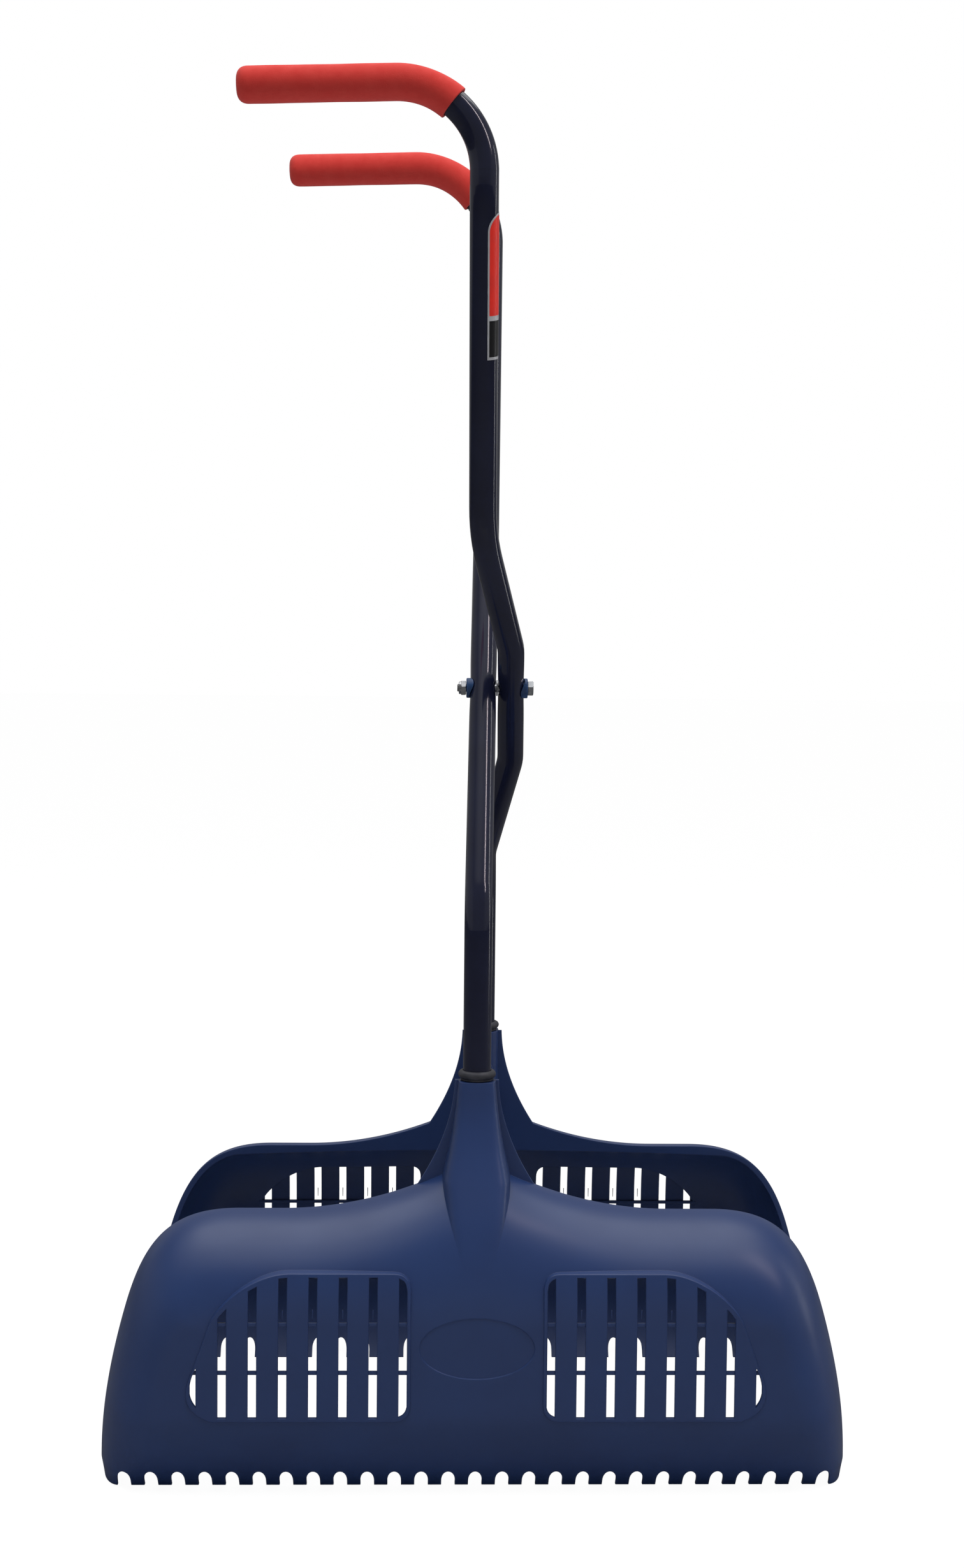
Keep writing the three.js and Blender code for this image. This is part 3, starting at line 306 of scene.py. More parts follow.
def drawn(start: Sequence[float], curves: Sequence[tuple], closed: bool = False) -> Array:
    """A line of Bezier curves, each of which starts where the one before it ends.

    Args:
        start: Where the line starts.
        curves: For each curve, its count of points and then its further controls.
        closed: Whether the line ends at its start, which it then holds once.

    Returns:
        The line's points, each shared one once.
    """
    points = []
    for count, *controls in curves:
        points.append(bezier((start, *controls), count)[:-1])
        start = controls[-1]
    return np.concatenate(points if closed else [*points, [start]])


def rod(low: float, high: float, radius: float) -> Array:
    """The profile of a plain rod with flat ends, as distances and radii."""
    return np.array(((low, 0.0), (low, radius), (high, radius), (high, 0.0)))


def rounded(corners: Sequence[tuple[float, float, float]], closed: bool = False, steps: int = 5) -> Array:
    """A profile whose corners are rounded off.

    Args:
        corners: First coordinate, second coordinate, and how far from the corner its curve starts.
        closed: Whether the last corner runs on to the first.
        steps: Points of each curve.

    Returns:
        The profile's points, where each corner is the quadratic curve between its two starts.
    """
    places = np.array([corner[:2] for corner in corners], float)
    before, after = np.roll(places, 1, axis=0), np.roll(places, -1, axis=0)
    points = []
    for i, (at, (_, _, radius)) in enumerate(zip(places, corners)):
        at_end = not closed and i in (0, len(corners) - 1)
        if radius == 0 or at_end:
            points.append(at[None])
        else:
            start, end = at + radius * unit(before[i] - at), at + radius * unit(after[i] - at)
            points.append(bezier((start, at, end), steps))
    return np.concatenate(points)


@dataclass(frozen=True)
class BentLine:
    """Straight stretches and round bends: distance so far, points and directions at close stations."""

    distance: Array
    points: Array
    directions: Array

    @classmethod
    def through(cls, corners: Sequence[tuple[Array, float]]) -> "BentLine":
        """Rounds each corner with its own bend radius.

        A bend turns from the way in to the way out: start + R sin t inward + R (1 - cos t) sideways.

        Args:
            corners: Corner points with their bend radii; the two ends have none.

        Returns:
            The line, with a station at least every 6 mm and every 3 degrees of bend.
        """
        points, directions = [corners[0][0][None]], [unit(corners[1][0] - corners[0][0])[None]]
        for (before, _), (at, bend), (after, _) in zip(corners, corners[1:], corners[2:]):
            way_in, way_out = unit(at - before), unit(after - at)
            turn = math.acos(float(np.clip(way_in @ way_out, -1, 1)))
            if turn < WELD:
                continue
            sideways = (way_out - math.cos(turn) * way_in) / math.sin(turn)
            start = at - bend * math.tan(turn / 2) * way_in
            t = np.linspace(0, turn, max(4, round(math.degrees(turn) / 3)))[:, None]
            points.append(start + bend * (np.sin(t) * way_in + (1 - np.cos(t)) * sideways))
            directions.append(np.cos(t) * way_in + np.sin(t) * sideways)
        points.append(corners[-1][0][None])
        directions.append(unit(corners[-1][0] - corners[-2][0])[None])
        line, way = np.concatenate(points), np.concatenate(directions)
        return cls(run_of(line), line, way)

    @property
    def stations(self) -> Array:
        """Distances at every bend station and along the straights between them."""
        regular = np.arange(0, self.distance[-1], 6.0)
        return np.unique(np.round(np.concatenate((self.distance, regular)), 3))

    def at(self, distance: Array) -> tuple[Array, Array]:
        """Finds places on the line, which runs straight on past its ends.

        Args:
            distance: Distances along the line.

        Returns:
            The points there, and the line's directions.
        """
        inside = np.clip(distance, 0, self.distance[-1])
        way = unit(read_off(inside, self.distance, self.directions))
        return read_off(inside, self.distance, self.points) + (distance - inside)[:, None] * way, way


def carried(line: BentLine, profile: Array, sides: int = 48) -> Array:
    """A round section carried along a line.

    Each ring is centre + r (cos t side + sin t up), with side and up square to the line.

    Args:
        line: The line that the ring's centre follows.
        profile: Rows of distance along the line and radius.
        sides: Points of each ring.

    Returns:
        A grid of points, one row for each ring.
    """
    centre, way = line.at(profile[:, 0])
    side = unit(np.cross((0.0, 1.0, 0.0), way))
    up = np.cross(way, side)
    turn = round_angles(sides)[:, None]
    ring = np.cos(turn) * side[:, None] + np.sin(turn) * up[:, None]
    return centre[:, None] + profile[:, 1][:, None, None] * ring


def revolved(
    base: Sequence[float], axis: Sequence[float], along: Array, radius: Array, sides: int = 64
) -> Array:
    """A surface about a straight axis: base + d axis + r (cos t side + sin t up).

    Args:
        base: A point on the axis.
        axis: The axis's direction.
        along: Distances d along the axis, one for each ring or for each point of each ring.
        radius: Radii r, likewise.
        sides: Points of each ring.

    Returns:
        A grid of points, one row for each ring.
    """
    way = unit(np.asarray(axis, float))
    side = unit(np.cross((0.31, 0.17, 0.94) if abs(way[2]) < 0.9 else (1.0, 0.0, 0.0), way))
    up = np.cross(way, side)
    turn = round_angles(sides)[:, None]
    ring = np.cos(turn) * side + np.sin(turn) * up
    d, r = (np.broadcast_to(v if v.ndim == 2 else v[:, None], (len(v), sides)) for v in (along, radius))
    return np.asarray(base) + d[..., None] * way + r[..., None] * ring


# ---------------------------------------------------------------- meshes
def quads_of(rows: int, columns: int, wrap_rows: bool) -> NDArray[np.int64]:
    """The quads of a grid of points whose columns run all the way round.

    Args:
        rows: Rows of the grid.
        columns: Points of each row.
        wrap_rows: Whether the last row also meets the first.

    Returns:
        Four corner numbers for each quad.
    """
    a, b = np.meshgrid(np.arange(rows if wrap_rows else rows - 1), np.arange(columns), indexing="ij")
    up, across = (a + 1) % rows, (b + 1) % columns
    corners = (a * columns + b, a * columns + across, up * columns + across, up * columns + b)
    return np.stack(corners, axis=-1).reshape(-1, 4)


def shut(grid: Array) -> Array:
    """A grid whose first and last rows are closed, each by a row drawn together at its middle."""
    ends = [np.broadcast_to(row.mean(axis=0), row.shape)[None] for row in (grid[0], grid[-1])]
    return np.concatenate((ends[0], grid, ends[1]))


def whole(half: Array) -> Array:
    """A closed surface made of a half, whose rows run from its side to its middle, and its mirror image."""
    return shut(np.concatenate((half, half[:-1][::-1] * MIRROR)))


def both_sides(grid: Array) -> list[Array]:
    """A surface on one side of a scoop and its mirror image on the other."""
    return [grid, grid * MIRROR]


def added(name: str, data: bpy.types.ID) -> bpy.types.Object:
    """Adds an object to the scene.

    Args:
        name: The object's name.
        data: Its mesh, lamp or camera.

    Returns:
        The object, at the origin.
    """
    made = bpy.data.objects.new(name, data)
    bpy.context.scene.collection.objects.link(made)
    return made


def piece_of(name: str, *grids: Array, wrap_rows: bool = False) -> bpy.types.Object:
    """Writes closed surfaces as one object.

    Points that meet are joined, quads that close to a line are dropped, and faces turn outwards.

    Args:
        name: The piece's name.
        *grids: Grids of points in millimetres, each closed round its columns.
        wrap_rows: Whether the last row of each grid also meets the first.

    Returns:
        The object, at the origin and in metres.
    """
    faces, offset = [], 0
    for grid in grids:
        faces.append(quads_of(*grid.shape[:2], wrap_rows) + offset)
        offset += grid.shape[0] * grid.shape[1]
    points = np.concatenate([grid.reshape(-1, 3) for grid in grids])
    _, first, number = np.unique(np.round(points / WELD), axis=0, return_index=True, return_inverse=True)
    corners = number.reshape(-1)[np.concatenate(faces)]
    same = corners == np.roll(corners, -1, axis=1)
    crossed = (corners[:, 0] == corners[:, 2]) | (corners[:, 1] == corners[:, 3])
    quads = corners[(same.sum(axis=1) == 0) & ~crossed]
    folded = (same.sum(axis=1) == 1) & ~crossed
    triangles = corners[folded][~same[folded]].reshape(-1, 3)
    mesh = bpy.data.meshes.new(name)
    mesh.from_pydata((points[first] * MM).tolist(), [], [*quads.tolist(), *triangles.tolist()])
    turned = bmesh.new()
    turned.from_mesh(mesh)
    bmesh.ops.recalc_face_normals(turned, faces=turned.faces)
    turned.to_mesh(mesh)
    turned.free()
    return added(name, mesh)


def combine(piece: bpy.types.Object, tool: bpy.types.Object, how: Join) -> None:
    """Joins a tool to a piece, or cuts it away, and removes the tool.

    Args:
        piece: The piece, which keeps the result.
        tool: The closed surfaces to join or cut.
        how: Whether they are joined or cut away.
    """
    modifier = piece.modifiers.new("combine", "BOOLEAN")
    modifier.operation = how.value
    modifier.solver = "MANIFOLD"
    modifier.object = tool
    graph = bpy.context.evaluated_depsgraph_get()
    made = bpy.data.meshes.new_from_object(piece.evaluated_get(graph))
    piece.modifiers.clear()
    spent = [piece.data, tool.data]
    piece.data = made
    bpy.data.objects.remove(tool)
    for mesh in spent:
        bpy.data.meshes.remove(mesh)


def fit_out(piece: bpy.types.Object, body: Body, slot: Slot, finish: Finish, *nodes: str) -> None:
    """Shades and finishes a piece and puts it on its body; its large faces lead the shading.

    Args:
        piece: The piece.
        body: The body that it rides on.
        slot: The record's slot for its finish; not used.
        finish: What it is made of.
        *nodes: The frame's solids that it stands for.
    """
    piece.data.shade_smooth()
    piece.data.set_sharp_from_angle(angle=SMOOTH_BELOW)
    piece.modifiers.new("leading_faces", "WEIGHTED_NORMAL").keep_sharp = True
    piece.data.materials.clear()
    piece.data.materials.append(material_of(finish))
    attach(piece, body.value)
    if nodes:
        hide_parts(*nodes)
    LOG.info("%s rides on %s and stands for %s", piece.name, body.value, ", ".join(nodes) or "nothing")


def plug_of(outline: Outline, levels: Pairs, face: Face, core: Sequence[float]) -> Array:
    """A closed plug that follows a flat or curved face.

    Each level is the outline at its own inset, at depth face(x, z) - drop. Both ends draw together to
    the core's outline and then to its middle, so that they follow the face too.

    Args:
        outline: Gives points in X and Z for an inset.
        levels: Insets and drops below the face, from one end of the plug to the other.
        face: The face's depth, or what gives it at points in X and Z.
        core: Lowest X, highest X, lowest Z and highest Z of the box that the ends close to.

    Returns:
        A grid of points, one row for each ring.
    """
    walls = [(outline(inset), drop) for inset, drop in levels]
    caps = []
    for rim, drop in (walls[0], walls[-1]):
        heart = np.clip(rim, core[::2], core[1::2])
        caps.append([(rim + share * (heart - rim), drop) for share in np.linspace(1, 0, 10)[:-1]])
    rings = [*caps[0], *walls, *reversed(caps[1])]
    return shut(np.stack([
        at_depth(flat, (face(flat) if callable(face) else face) - drop) for flat, drop in rings
    ]))


# ---------------------------------------------------------------- layout that the pieces share
@dataclass(frozen=True)
class Scissor:
    """The lean, splay and pivot of the two crossed tubes; side -1 has its handle in front."""

    pivot_height: float = 560.5
    lean: float = math.radians(33.5)
    splay: float = 19 / 4 / 103  # a quarter of the teeth's pitch over the socket's reach
    socket_reach: float = 103.0
    handle_reach: float = 142.0
    handle_height: float = 977.0
    droop: float = math.radians(2)
    shoulder_height: float = 907.0
    knee_height: float = 672.0
    foot_height: float = 213.0
    step: float = 20.9
    flat_radius: float = 9.65

    def in_plane(self, x: float, y: float, z: float) -> Array:
        """A point in the plane that the tubes lie in, which the splay turns: (x + splay y, y, z)."""
        return np.array((x + self.splay * y, y, z))

    def on_lean(self, side: int, x: float, height: float) -> Array:
        """A point on a tube's leaning stretch: y = side tan(lean) (height - pivot)."""
        return self.in_plane(x, side * math.tan(self.lean) * (height - self.pivot_height), height)

    def along(self, side: int) -> Array:
        """The direction of a tube at the pivot, upwards."""
        return unit(self.in_plane(0, side * math.sin(self.lean), math.cos(self.lean)))

    @property
    def handle_way(self) -> Array:
        """The direction of a handle, towards its free end."""
        return np.array((-math.cos(self.droop), 0.0, -math.sin(self.droop)))

    def pivot(self, x: float) -> Array:
        """A point on the bolt's axis."""
        return np.array((x, 0.0, self.pivot_height))


SCISSOR = Scissor()


# ---------------------------------------------------------------- arms
@dataclass(frozen=True)
class Arm:
    """One bent tube with its grip, end plug and collar bead; the name says where its handle is."""

    name: str
    body: Body
    side: int
    step: float
    handle_length: float
    tube_node: str
    scoop_end: str
    radius: float = 10.0
    bore: float = 8.8
    edge: float = 0.3
    handle_bend: float = 59.0
    shoulder_bend: float = 80.0
    knee_bend: float = 110.0
    step_bend: float = 45.0
    step_heights: tuple[float, float, float] = (30.0, -56.0, -132.0)  # over the pivot
    foot_bend: float = 60.0
    pinch: float = 0.35
    pinch_reach: float = 27.0
    bolt_hole: float = 4.6
    grip_radius: float = 12.5
    grip_end: float = 6.0
    grip_bulge: float = 0.8
    grip_edge: float = 7.8
    grip_turn: float = math.radians(37.7)
    # Height, length of one radian and phase of each swell in the foam.
    swells: tuple[tuple[float, float, float], ...] = ((0.06, 11.0, 0.0), (0.03, 5.1, 1.0))
    plug_head: float = 1.6
    plug_stem: float = 14.0
    plug_wall: float = 1.5
    socket_top: float = 282.0
    collar_radius: float = 13.5
    collar_height: float = 5.7
    collar_neck_radius: float = 11.8
    collar_neck: float = 1.3

    def line(self) -> BentLine:
        """The tube's centre line, which steps sideways past the other tube where the arm has a step.

        Returns:
            The line from the handle's free end to the tube's foot.
        """
        s, up, reach = SCISSOR, SCISSOR.pivot_height, self.side * SCISSOR.handle_reach
        drop = self.handle_length * math.tan(s.droop)
        foot = up - s.socket_reach / math.tan(s.lean)
        steps = zip((self.step, self.step, 0.0), self.step_heights) if self.step else ()
        return BentLine.through([
            (s.in_plane(-self.handle_length, reach, s.handle_height - drop), 0.0),
            (s.in_plane(0, reach, s.handle_height), self.handle_bend),
            (s.in_plane(0, reach, s.shoulder_height), self.shoulder_bend),
            (s.on_lean(self.side, 0, s.knee_height), self.knee_bend),
            *((s.on_lean(self.side, x, up + height), self.step_bend) for x, height in steps),
            (s.in_plane(0, -self.side * s.socket_reach, foot), self.foot_bend),
            (s.in_plane(0, -self.side * s.socket_reach, s.foot_height), 0.0),
        ])

    def pinched(self, grid: Array) -> Array:
        """Presses the tube's sides in at the bolt: x offset times 1 - pinch / R cos^2(d pi / 2 reach).

        Args:
            grid: The round tube's points.

        Returns:
            The points with the tube pressed in.
        """
        pivot, way = SCISSOR.pivot(self.step), SCISSOR.along(self.side)
        distance = np.clip((grid - pivot) @ way, -self.pinch_reach, self.pinch_reach)
        ease = np.cos(distance / self.pinch_reach * math.pi / 2) ** 2
        middle = self.step + way[0] * distance
        pressed = grid.copy()
        pressed[..., 0] = middle + (grid[..., 0] - middle) * (1 - self.pinch / self.radius * ease)
        return np.where(ease[..., None] > 1e-9, pressed, grid)

    def tube(self) -> None:
        """Builds the steel tube: its outside along the line and its bore back, with a hole for the bolt."""
        line = self.line()
        outside = np.sort(np.concatenate((line.stations, (self.edge, line.distance[-1] - self.edge))))
        radius = np.full(len(outside), self.radius)
        radius[[0, -1]] -= self.edge
        profile = np.concatenate((points_of(outside, radius), points_of(line.stations[::-1], self.bore)))
        piece = piece_of(f"{self.name}_painted_tube", self.pinched(carried(line, profile)), wrap_rows=True)
        hole = revolved(SCISSOR.pivot(self.step), (1, 0, 0), *rod(-12.0, 12.0, self.bolt_hole).T)
        combine(piece, piece_of("bolt_hole", hole), Join.CUT)
        fit_out(piece, self.body, Slot.PAINT, PAINTED_STEEL, self.tube_node)

    def grip(self) -> None:
        """Builds the foam grip: a soft round end, a sleeve with faint swells and a crisp cut in the bend."""
        turn = math.pi / 2 - SCISSOR.droop
        straight = self.handle_length / math.cos(SCISSOR.droop) - self.handle_bend * math.tan(turn / 2)
        cut = straight + self.handle_bend * self.grip_turn
        radius, bore, closed = self.grip_radius, self.radius + FIT, -2 * FIT - self.plug_head
        end = closed - self.grip_end
        soft_end = ((end, 0.0, 0.0), (end + self.grip_bulge, radius, self.grip_edge), (0.0, radius, 0.0))
        at = np.arange(4.0, cut - 2.0, 3.0)
        swell = sum(rise * np.sin(at / length + phase * self.side) for rise, length, phase in self.swells)
        mouth = rounded(
            ((cut - 2.0, radius, 0.0), (cut, radius, 0.7), (cut, bore, 0.4), (closed, bore, 0.0))
        )
        inside = points_of(np.arange(cut - 3.0, closed, -4.0), bore)
        profile = np.concatenate((
            rounded(soft_end, steps=12), points_of(at, radius + swell), mouth[:-1], inside, mouth[-1:],
            [[closed, 0.0]],
        ))
        piece = piece_of(f"{self.name}_foam_grip", carried(self.line(), profile, 64))
        fit_out(piece, self.body, Slot.FOAM, FOAM, f"grip_{self.name}")

    def plug(self) -> None:
        """Builds the end plug: a disc on the tube's end with a hollow stem inside it."""
        stem, head = self.bore - FIT, self.radius - FIT
        foot, top = -self.plug_stem, FIT + self.plug_head
        profile = rounded((
            (top, 0.0, 0.0), (top, head, 0.5), (FIT, head, 0.2), (FIT, stem, 0.0), (foot, stem, 0.4),
            (foot, stem - self.plug_wall, 0.3), (FIT, stem - self.plug_wall, 0.3), (FIT, 0.0, 0.0),
        ))
        grid = revolved(self.line().points[0], SCISSOR.handle_way, *profile.T)
        piece = piece_of(f"{self.name}_tube_plug", grid)
        fit_out(piece, self.body, Slot.PLUG, BLACK_POLYETHYLENE, f"end_plug_{self.name}")

    def collar(self) -> None:
        """Builds the bead round the tube on the socket's mouth: a short neck under a round bulge."""
        half, bore = self.collar_height / 2, self.radius + FIT
        neck, r = self.collar_neck, self.collar_neck_radius
        t = np.radians(np.linspace(-80, 84, 22))
        bulge = points_of(neck + half * (1 + np.sin(t)), self.collar_radius - half * (1 - np.cos(t)))
        foot, top = ((0.0, bore), (0.0, r - 0.2), (0.2, r), (neck, r)), ((neck + self.collar_height, bore),)
        base = SCISSOR.in_plane(0, -self.side * SCISSOR.socket_reach, self.socket_top + FIT)
        grid = revolved(base, (0, 0, 1), *np.concatenate((foot, bulge, top)).T, 72)
        piece = piece_of(f"{self.scoop_end}_collar_bead", grid, wrap_rows=True)
        fit_out(piece, self.body, Slot.COLLAR, GREY_PVC, f"socket_collar_{self.scoop_end}")

    def build(self) -> None:
        """Builds the tube and all that is pushed onto it."""
        self.tube()
        self.grip()
        self.plug()
        self.collar()


@dataclass(frozen=True)
class Band:
    """One printed area of the label: its span from the middle, half angle and stand off the tube."""

    name: str
    low: float
    high: float
    half_angle: float
    stand: float
    finish: Finish
    point: float = 0.0


@dataclass(frozen=True)
class Sticker:
    """The plain label on the front handle's tube: a silver border round a red field and a black foot."""

    drop: float = 67.0
    length: float = 96.0
    half_angle: float = math.radians(77)
    inner: float = 10.15

    def band(self, band: Band) -> bpy.types.Object:
        """Builds one area as a thin sheet round the tube.

        Points are axis point + r (cos t across + sin t back), t up to the half angle, which narrows
        over the last few millimetres of a pointed end.

        Args:
            band: The area's span and finish.

        Returns:
            The sheet.
        """
        s = SCISSOR
        knee = s.on_lean(-1, 0, s.knee_height)
        shoulder = s.in_plane(0, -s.handle_reach, s.shoulder_height)
        way = unit(shoulder - knee)
        rise = s.shoulder_height - s.knee_height
        middle = shoulder - way * self.drop / rise * np.linalg.norm(shoulder - knee)
        across = unit(np.cross((0.0, 1.0, 0.0), way))
        back = np.cross(way, across)
        height = np.unique(np.concatenate((
            np.linspace(band.low, band.high, 24), band.high - np.linspace(0, max(band.point, 0.6), 12)
        )))
        width = np.full(len(height), band.half_angle)
        if band.point:
            taper = np.clip((band.high - height) / band.point, 0, 1)
            width = band.half_angle * np.sqrt(1 - (1 - taper) ** 2)
        count = 40  # points of each arc
        t = np.linspace(-1, 1, count) * width[:, None]
        arcs = [
            r * (np.cos(a)[..., None] * across + np.sin(a)[..., None] * back)
            for r, a in ((self.inner + band.stand, t), (self.inner, t[:, ::-1]))
        ]
        grid = middle + height[:, None, None] * way + np.concatenate(arcs, axis=1)
        grid[[0, -1], :count] = grid[[0, -1], count:][:, ::-1]
        return piece_of(f"label_{band.name}", grid)

    def build(self) -> None:
        """Builds the label's areas from the backing outwards."""
        half, edge = self.length / 2, self.half_angle
        bands = (
            Band("border", -half, half + 4, edge, 0.14, SILVER_VINYL, 13.0),
            Band("foot", -half + 1.6, -half + 27, edge - 0.13, 0.20, BLACK_VINYL),
            Band("field", -half + 28.2, half + 2.8, edge - 0.13, 0.20, RED_VINYL, 12.0),
        )
        for band in bands:
            nodes = ("tube_label",) if band.name == "border" else ()
            fit_out(self.band(band), Body.STEPPED, Slot.LABEL, band.finish, *nodes)


# ---------------------------------------------------------------- pivot
@dataclass(frozen=True)
class Pivot:
    """The bolt, its lock nut, the spacer between the tubes and the two saddle washers."""

    bolt: float = 3.0
    flats: float = 10.0
    chamfer_in: float = 0.15
    head: float = 4.0
    tip: float = 1.2
    thread_from: float = 0.4
    thread_to: float = 7.0
    thread_step: float = 0.1
    thread_depth: float = 0.32
    nut_hex: float = 3.8
    nut_collar: float = 1.6
    nut_collar_radius: float = 4.7
    ring_wall: float = 0.7
    washer_radius: float = 7.5
    washer_rim: float = 2.7
    wings: float = 2.4
    spigot: float = 4.3
    bore: float = 8.8
    spacer_radius: float = 6.0
    spacer_thickness: float = 1.0
    sides: int = 96

    @property
    def washer_face(self) -> float:
        """A washer's outer face, from its tube's centre."""
        return SCISSOR.flat_radius + FIT + self.washer_rim

    def hexagon(self) -> Array:
        """Radius of the hexagon round the axis: half the flats / cos(t mod 60 - 30 degrees)."""
        t = round_angles(self.sides)
        return self.flats / 2 / np.cos((t % (math.pi / 3)) - math.pi / 6)

    def hex_rows(self, low: float, high: float, both: bool) -> tuple[Array, Array]:
        """Rows of a hexagon whose corners are chamfered to a circle at 30 degrees.

        Args:
            low: Distance of its lower face along the axis.
            high: Distance of its upper face.
            both: Whether the lower corners are chamfered too.

        Returns:
            Distances and radii, one row for each ring.
        """
        hexagon = self.hexagon()
        circle, flat = (np.full(self.sides, size) for size in (self.flats / 2 - self.chamfer_in, low))
        fall = (hexagon - circle) * math.tan(math.radians(30))
        mixes = ((0.0, circle), (0.5, (circle + hexagon) / 2), (1.0, hexagon))
        lower = [(flat + fall * share * both, radius) for share, radius in mixes]
        upper = [(high - fall * share, radius) for share, radius in reversed(mixes)]
        rows = [*(lower if both else lower[-1:]), *upper]
        return np.stack([row[0] for row in rows]), np.stack([row[1] for row in rows])

    def turned(
        self, name: str, base: Array, axis: Sequence[float], rows: Sequence[tuple], closed: bool
    ) -> bpy.types.Object:
        """A piece of rings about an axis.

        Args:
            name: The piece's name.
            base: A point on the axis.
            axis: The axis's direction.
            rows: A distance and a radius for each ring, each plain or one for each point of the ring.
            closed: Whether the last ring meets the first.

        Returns:
            The piece.
        """
        along, radius = (
            np.stack([np.broadcast_to(np.asarray(value, float), (self.sides,)) for value in column])
            for column in zip(*rows)
        )
        return piece_of(name, revolved(base, axis, along, radius, self.sides), wrap_rows=closed)

    def build_bolt(self) -> None:
        """Builds the bolt: a chamfered hexagon head with a shallow dish, a shank and a threaded tip."""
        face = SCISSOR.step + self.washer_face + FIT
        end = -self.washer_face - FIT - self.nut_hex - self.nut_collar - self.tip
        t, top, start = round_angles(self.sides), face + self.head, end + self.thread_from
        turns = np.arange(start, end + self.thread_to, self.thread_step)
        # The thread is a zigzag of 1 mm pitch that runs once round for each turn.
        thread = [
            (d, self.bolt - self.thread_depth * np.abs(2 * (d + t / (2 * math.pi)) % 2 - 1)) for d in turns
        ]
        along, radius = self.hex_rows(face, top, False)
        rows = [
            (end, 0.0), (end, self.bolt - 0.7), *thread, (turns[-1] + 0.3, self.bolt), (face, self.bolt),
            *zip(along, radius), (top, 3.2), (top - 0.25, 2.8), (top - 0.25, 0.0),
        ]
        piece = self.turned("pivot_hex_bolt", SCISSOR.pivot(0), (1, 0, 0), rows, False)
        fit_out(piece, Body.STRAIGHT, Slot.ZINC, ZINC, "pivot_bolt")

    def build_nut(self) -> None:
        """Builds the lock nut and the nylon ring in its collar."""
        face, seat = self.washer_face + FIT, self.bolt + self.ring_wall + 2 * FIT
        top = face + self.nut_hex
        end = top + self.nut_collar
        along, radius = self.hex_rows(face, top, True)
        hole = self.bolt + FIT
        rows = [
            (face + 0.4, hole), (face, hole + 0.4), *zip(along, radius), (top, self.nut_collar_radius),
            (end - 0.6, self.nut_collar_radius), (end - 0.17, self.nut_collar_radius - 0.17),
            (end, self.nut_collar_radius - 0.5), (end, seat), (top, seat), (top, hole),
        ]
        piece = self.turned("pivot_lock_nut", SCISSOR.pivot(0), (-1, 0, 0), rows, True)
        fit_out(piece, Body.STRAIGHT, Slot.ZINC, ZINC, "pivot_nut")
        out = hole + self.ring_wall
        ring = [(top + FIT, hole), (top + FIT, out), (end - 0.2, out), (end, out - 0.2), (end, hole)]
        piece = self.turned("nylon_lock_ring", SCISSOR.pivot(0), (-1, 0, 0), ring, True)
        fit_out(piece, Body.STRAIGHT, Slot.NYLON, NATURAL_NYLON, "nut_lock_ring")

    def build_spacer(self) -> None:
        """Builds the flat washer between the tubes, with worn edges."""
        low, high = (SCISSOR.step - self.spacer_thickness) / 2, (SCISSOR.step + self.spacer_thickness) / 2
        hole, out, worn = self.bolt + FIT, self.spacer_radius, 0.2
        rows = [
            (low, hole), (low, out - worn), (low + worn, out),
            (high - worn, out), (high, out - worn), (high, hole),
        ]
        piece = self.turned("steel_spacer", SCISSOR.pivot(0), (1, 0, 0), rows, True)
        fit_out(piece, Body.STRAIGHT, Slot.ZINC, ZINC, "pivot_spacer")

    def build_saddle(self, name: str, body: Body, side: int, x: float, outward: int, solid: str) -> None:
        """Builds a saddle washer.

        Its outer face is flat. Its inner face is sqrt(R^2 - (r c)^2) from the tube's centre, where c is
        the share of the ring's radius that lies across the tube.

        Args:
            name: The piece's name.
            body: The body that it rides on.
            side: The side of its tube.
            x: Place of the tube's centre.
            outward: 1 or -1, the way that it faces.
            solid: The solid that it stands for.
        """
        axis = np.array((float(outward), 0.0, 0.0))
        ring = revolved(np.zeros(3), axis, np.zeros(1), np.ones(1), self.sides)[0]
        across = np.abs(ring @ unit(np.cross(axis, SCISSOR.along(side))))
        tube, lowest = 10.0 + FIT, SCISSOR.flat_radius - self.wings

        def saddle(radius: float) -> Array:
            """Depths of the inner face round a ring."""
            return np.maximum(np.sqrt(tube**2 - (radius * across) ** 2), lowest)

        face, out, hole = self.washer_face, self.washer_radius, self.bolt + FIT
        rounding = rounded(((face, hole, 0.0), (face, out, 0.9), (face - 1.6, out, 0.0)), steps=7)
        rows = [
            (face - 0.3, hole), (face, hole + 0.3), *rounding[1:].tolist(), (saddle(out) + 0.25, out),
            *((saddle(r), r) for r in (out - 0.25, 6.4, 5.4, self.spigot)),
            (self.bore - 1.0, self.spigot), (self.bore - 1.0, hole),
        ]
        piece = self.turned(name, SCISSOR.pivot(x), axis, rows, True)
        fit_out(piece, body, Slot.SADDLE, BLUE_NYLON, solid)

    def build(self) -> None:
        """Builds everything on the bolt's axis."""
        self.build_bolt()
        self.build_nut()
        self.build_spacer()
        self.build_saddle("head_side_saddle", Body.STEPPED, -1, SCISSOR.step, 1, "saddle_washer_head")
        self.build_saddle("nut_side_saddle", Body.STRAIGHT, 1, 0.0, -1, "saddle_washer_nut")


